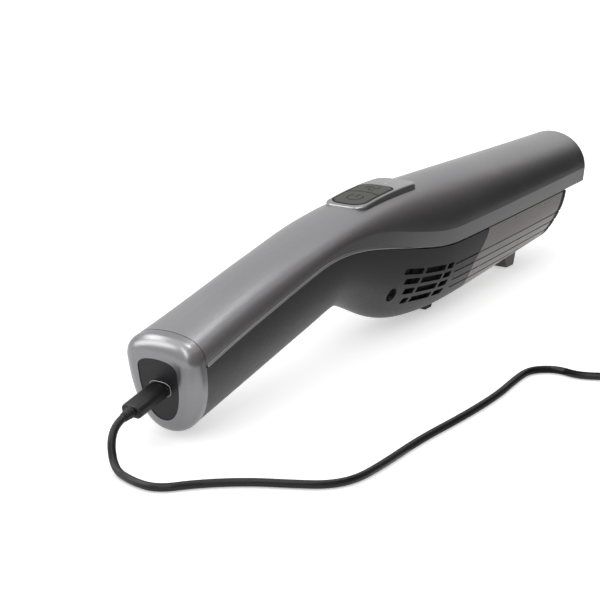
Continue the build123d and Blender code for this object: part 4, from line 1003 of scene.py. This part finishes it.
class VACUUM_OT_controls(bpy.types.Operator):
    """Finish the control pad, put raised marks on its keys and a dark seal round them, which is painted shade in their
    gap
    """
    bl_idname = "vacuum.controls"
    bl_label = "Controls"

    def execute(self, context):
        colours = context.scene.vacuum_colours
        sizes = context.scene.vacuum_sizes
        coat(finish_named("pad_paint", satin_paint, colours.pad, 0.30, 0.85), "control_pad")
        coat(finish_named("soft_key", soft_rubber, colours.keys, 0.6, 0.06), "power_key", "mode_key")
        coat(plain("light_pipe"), "status_lens")
        mark_finish = finish_named("mark_rubber", soft_rubber, shade(colours.keys, 0.55), 0.6, 0.06)

        crest = max(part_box("power_key")[1].z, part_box("mode_key")[1].z)

        def on_key(line):
            """A level line dropped on the keys' crown, a circle arc along X close to a parabola."""
            line[:, 2] = crest - (line[:, 0] - PORT_X - PAD_HIGH_X) ** 2 / (2 * PAD_CROWN_RADIUS)
            return line

        def raised(lines):
            return [stroke(on_key(line), sizes.mark_width, sizes.mark_height) for line in lines]

        low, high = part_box("power_key")
        middle = np.array(((low.x + high.x) / 2, 0.0, crest))
        mesh_piece("power_mark", raised(power_lines(middle)), mark_finish, "power_key")

        # Dark rubber ring that lies in the gap round the keys. It paints the gap's shade, and it sits where a seal
        # would.
        loop = window_line(KEYS_HALF_LENGTH + SEAL_SHADE_OUT, KEYS_HALF_WIDTH + SEAL_SHADE_OUT, KEYS_CORNER + SEAL_SHADE_OUT, KEYS_BOW)
        loop = np.array((PORT_X + KEYS_MIDDLE_X, 0.0)) + loop
        loop = on_key(np.column_stack([loop, np.zeros(len(loop))])) - KEYS_PROUD * UP
        mesh_piece("key_seal_shade", [stroke(loop, sizes.seal_shade_width, sizes.seal_shade_height)], plain("ring_rubber"), "body")

        low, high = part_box("mode_key")
        middle = np.array(((low.x + high.x) / 2 + FAN_SHIFT, 0.0, crest))
        mesh_piece("mode_mark", raised(fan_lines(middle)), mark_finish, "mode_key")
        return {"FINISHED"}


class VACUUM_OT_cup(bpy.types.Operator):
    """Finish the dust cup, its nozzle, flap, foot and filter"""
    bl_idname = "vacuum.cup"
    bl_label = "Dust cup and filter"

    def execute(self, context):
        colours = context.scene.vacuum_colours
        coat(finish_named("smoky_tub", smoky_plastic, colours.cup), "dust_cup")
        coat(plain("nozzle_plastic"), "nozzle_insert")
        coat(plain("foot_plastic"), "front_foot")
        coat(plain("seal_rubber"), "inlet_flap", "cup_seal")
        coat(plain("pin_steel"), "flap_pin")
        coat(plain("inner_moulding"), "inlet_bulkhead", "filter_frame")
        coat(plain("filter_paper"), "filter_pleats")
        coat(plain("screen_steel"), "filter_screen")
        return {"FINISHED"}


class VACUUM_OT_insides(bpy.types.Operator):
    """Finish the motor, fan, battery and boards inside the shells, and wind the motor"""
    bl_idname = "vacuum.insides"
    bl_label = "Insides"

    def execute(self, context):
        coat(plain("inner_moulding"), "battery_cradle", "fan_shroud", "motor_bracket", "motor_carrier", "impeller")
        coat(plain("seal_rubber"), "motor_boot")
        coat(plain("drawn_steel"), "motor_bearings", "motor_shaft", "battery_strips")
        coat(plain("blackened_steel"), "motor_can")
        coat(plain("stacked_sheets"), "motor_rotor", "motor_stator")
        coat(plain("cell_sleeve"), "battery_cells")
        coat(plain("circuit_board"), "charge_board", "control_board")
        coat(plain("switch_plastic"), "tact_switches")
        coat(plain("open_foam"), "exhaust_foam")
        low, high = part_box("motor_stator")
        mesh_piece("motor_windings", winding_rings(low, high), plain("copper_wire"), "body")
        return {"FINISHED"}


class VACUUM_PT_panel(bpy.types.Panel):
    """Sizes, colours and steps of the vacuum"""
    bl_idname = "VACUUM_PT_panel"
    bl_label = "Handheld Vacuum"
    bl_space_type = "VIEW_3D"
    bl_region_type = "UI"
    bl_category = "Vacuum"

    def draw(self, context):
        for step in STEPS:
            self.layout.operator(step.bl_idname)
        for group in (context.scene.vacuum_sizes, context.scene.vacuum_colours, context.scene.vacuum_stage):
            box = self.layout.box()
            for name in group.__annotations__:
                box.prop(group, name)


STEPS = (VACUUM_OT_stage, VACUUM_OT_lead, VACUUM_OT_shells, VACUUM_OT_controls, VACUUM_OT_cup, VACUUM_OT_insides)
GROUPS = {"vacuum_colours": VacuumColours, "vacuum_sizes": VacuumSizes, "vacuum_stage": VacuumStage}


def register():
    for group in GROUPS.values():
        bpy.utils.register_class(group)
    for name, group in GROUPS.items():
        setattr(bpy.types.Scene, name, PointerProperty(type=group))
    for step in STEPS:
        bpy.utils.register_class(step)
    bpy.utils.register_class(VACUUM_PT_panel)


def unregister():
    bpy.utils.unregister_class(VACUUM_PT_panel)
    for step in reversed(STEPS):
        bpy.utils.unregister_class(step)
    for name, group in GROUPS.items():
        delattr(bpy.types.Scene, name)
        bpy.utils.unregister_class(group)


def main():
    register()
    bpy.ops.vacuum.stage()
    bpy.ops.vacuum.lead()
    bpy.ops.vacuum.shells()
    bpy.ops.vacuum.controls()
    bpy.ops.vacuum.cup()
    bpy.ops.vacuum.insides()


if __name__ == "__main__":
    main()
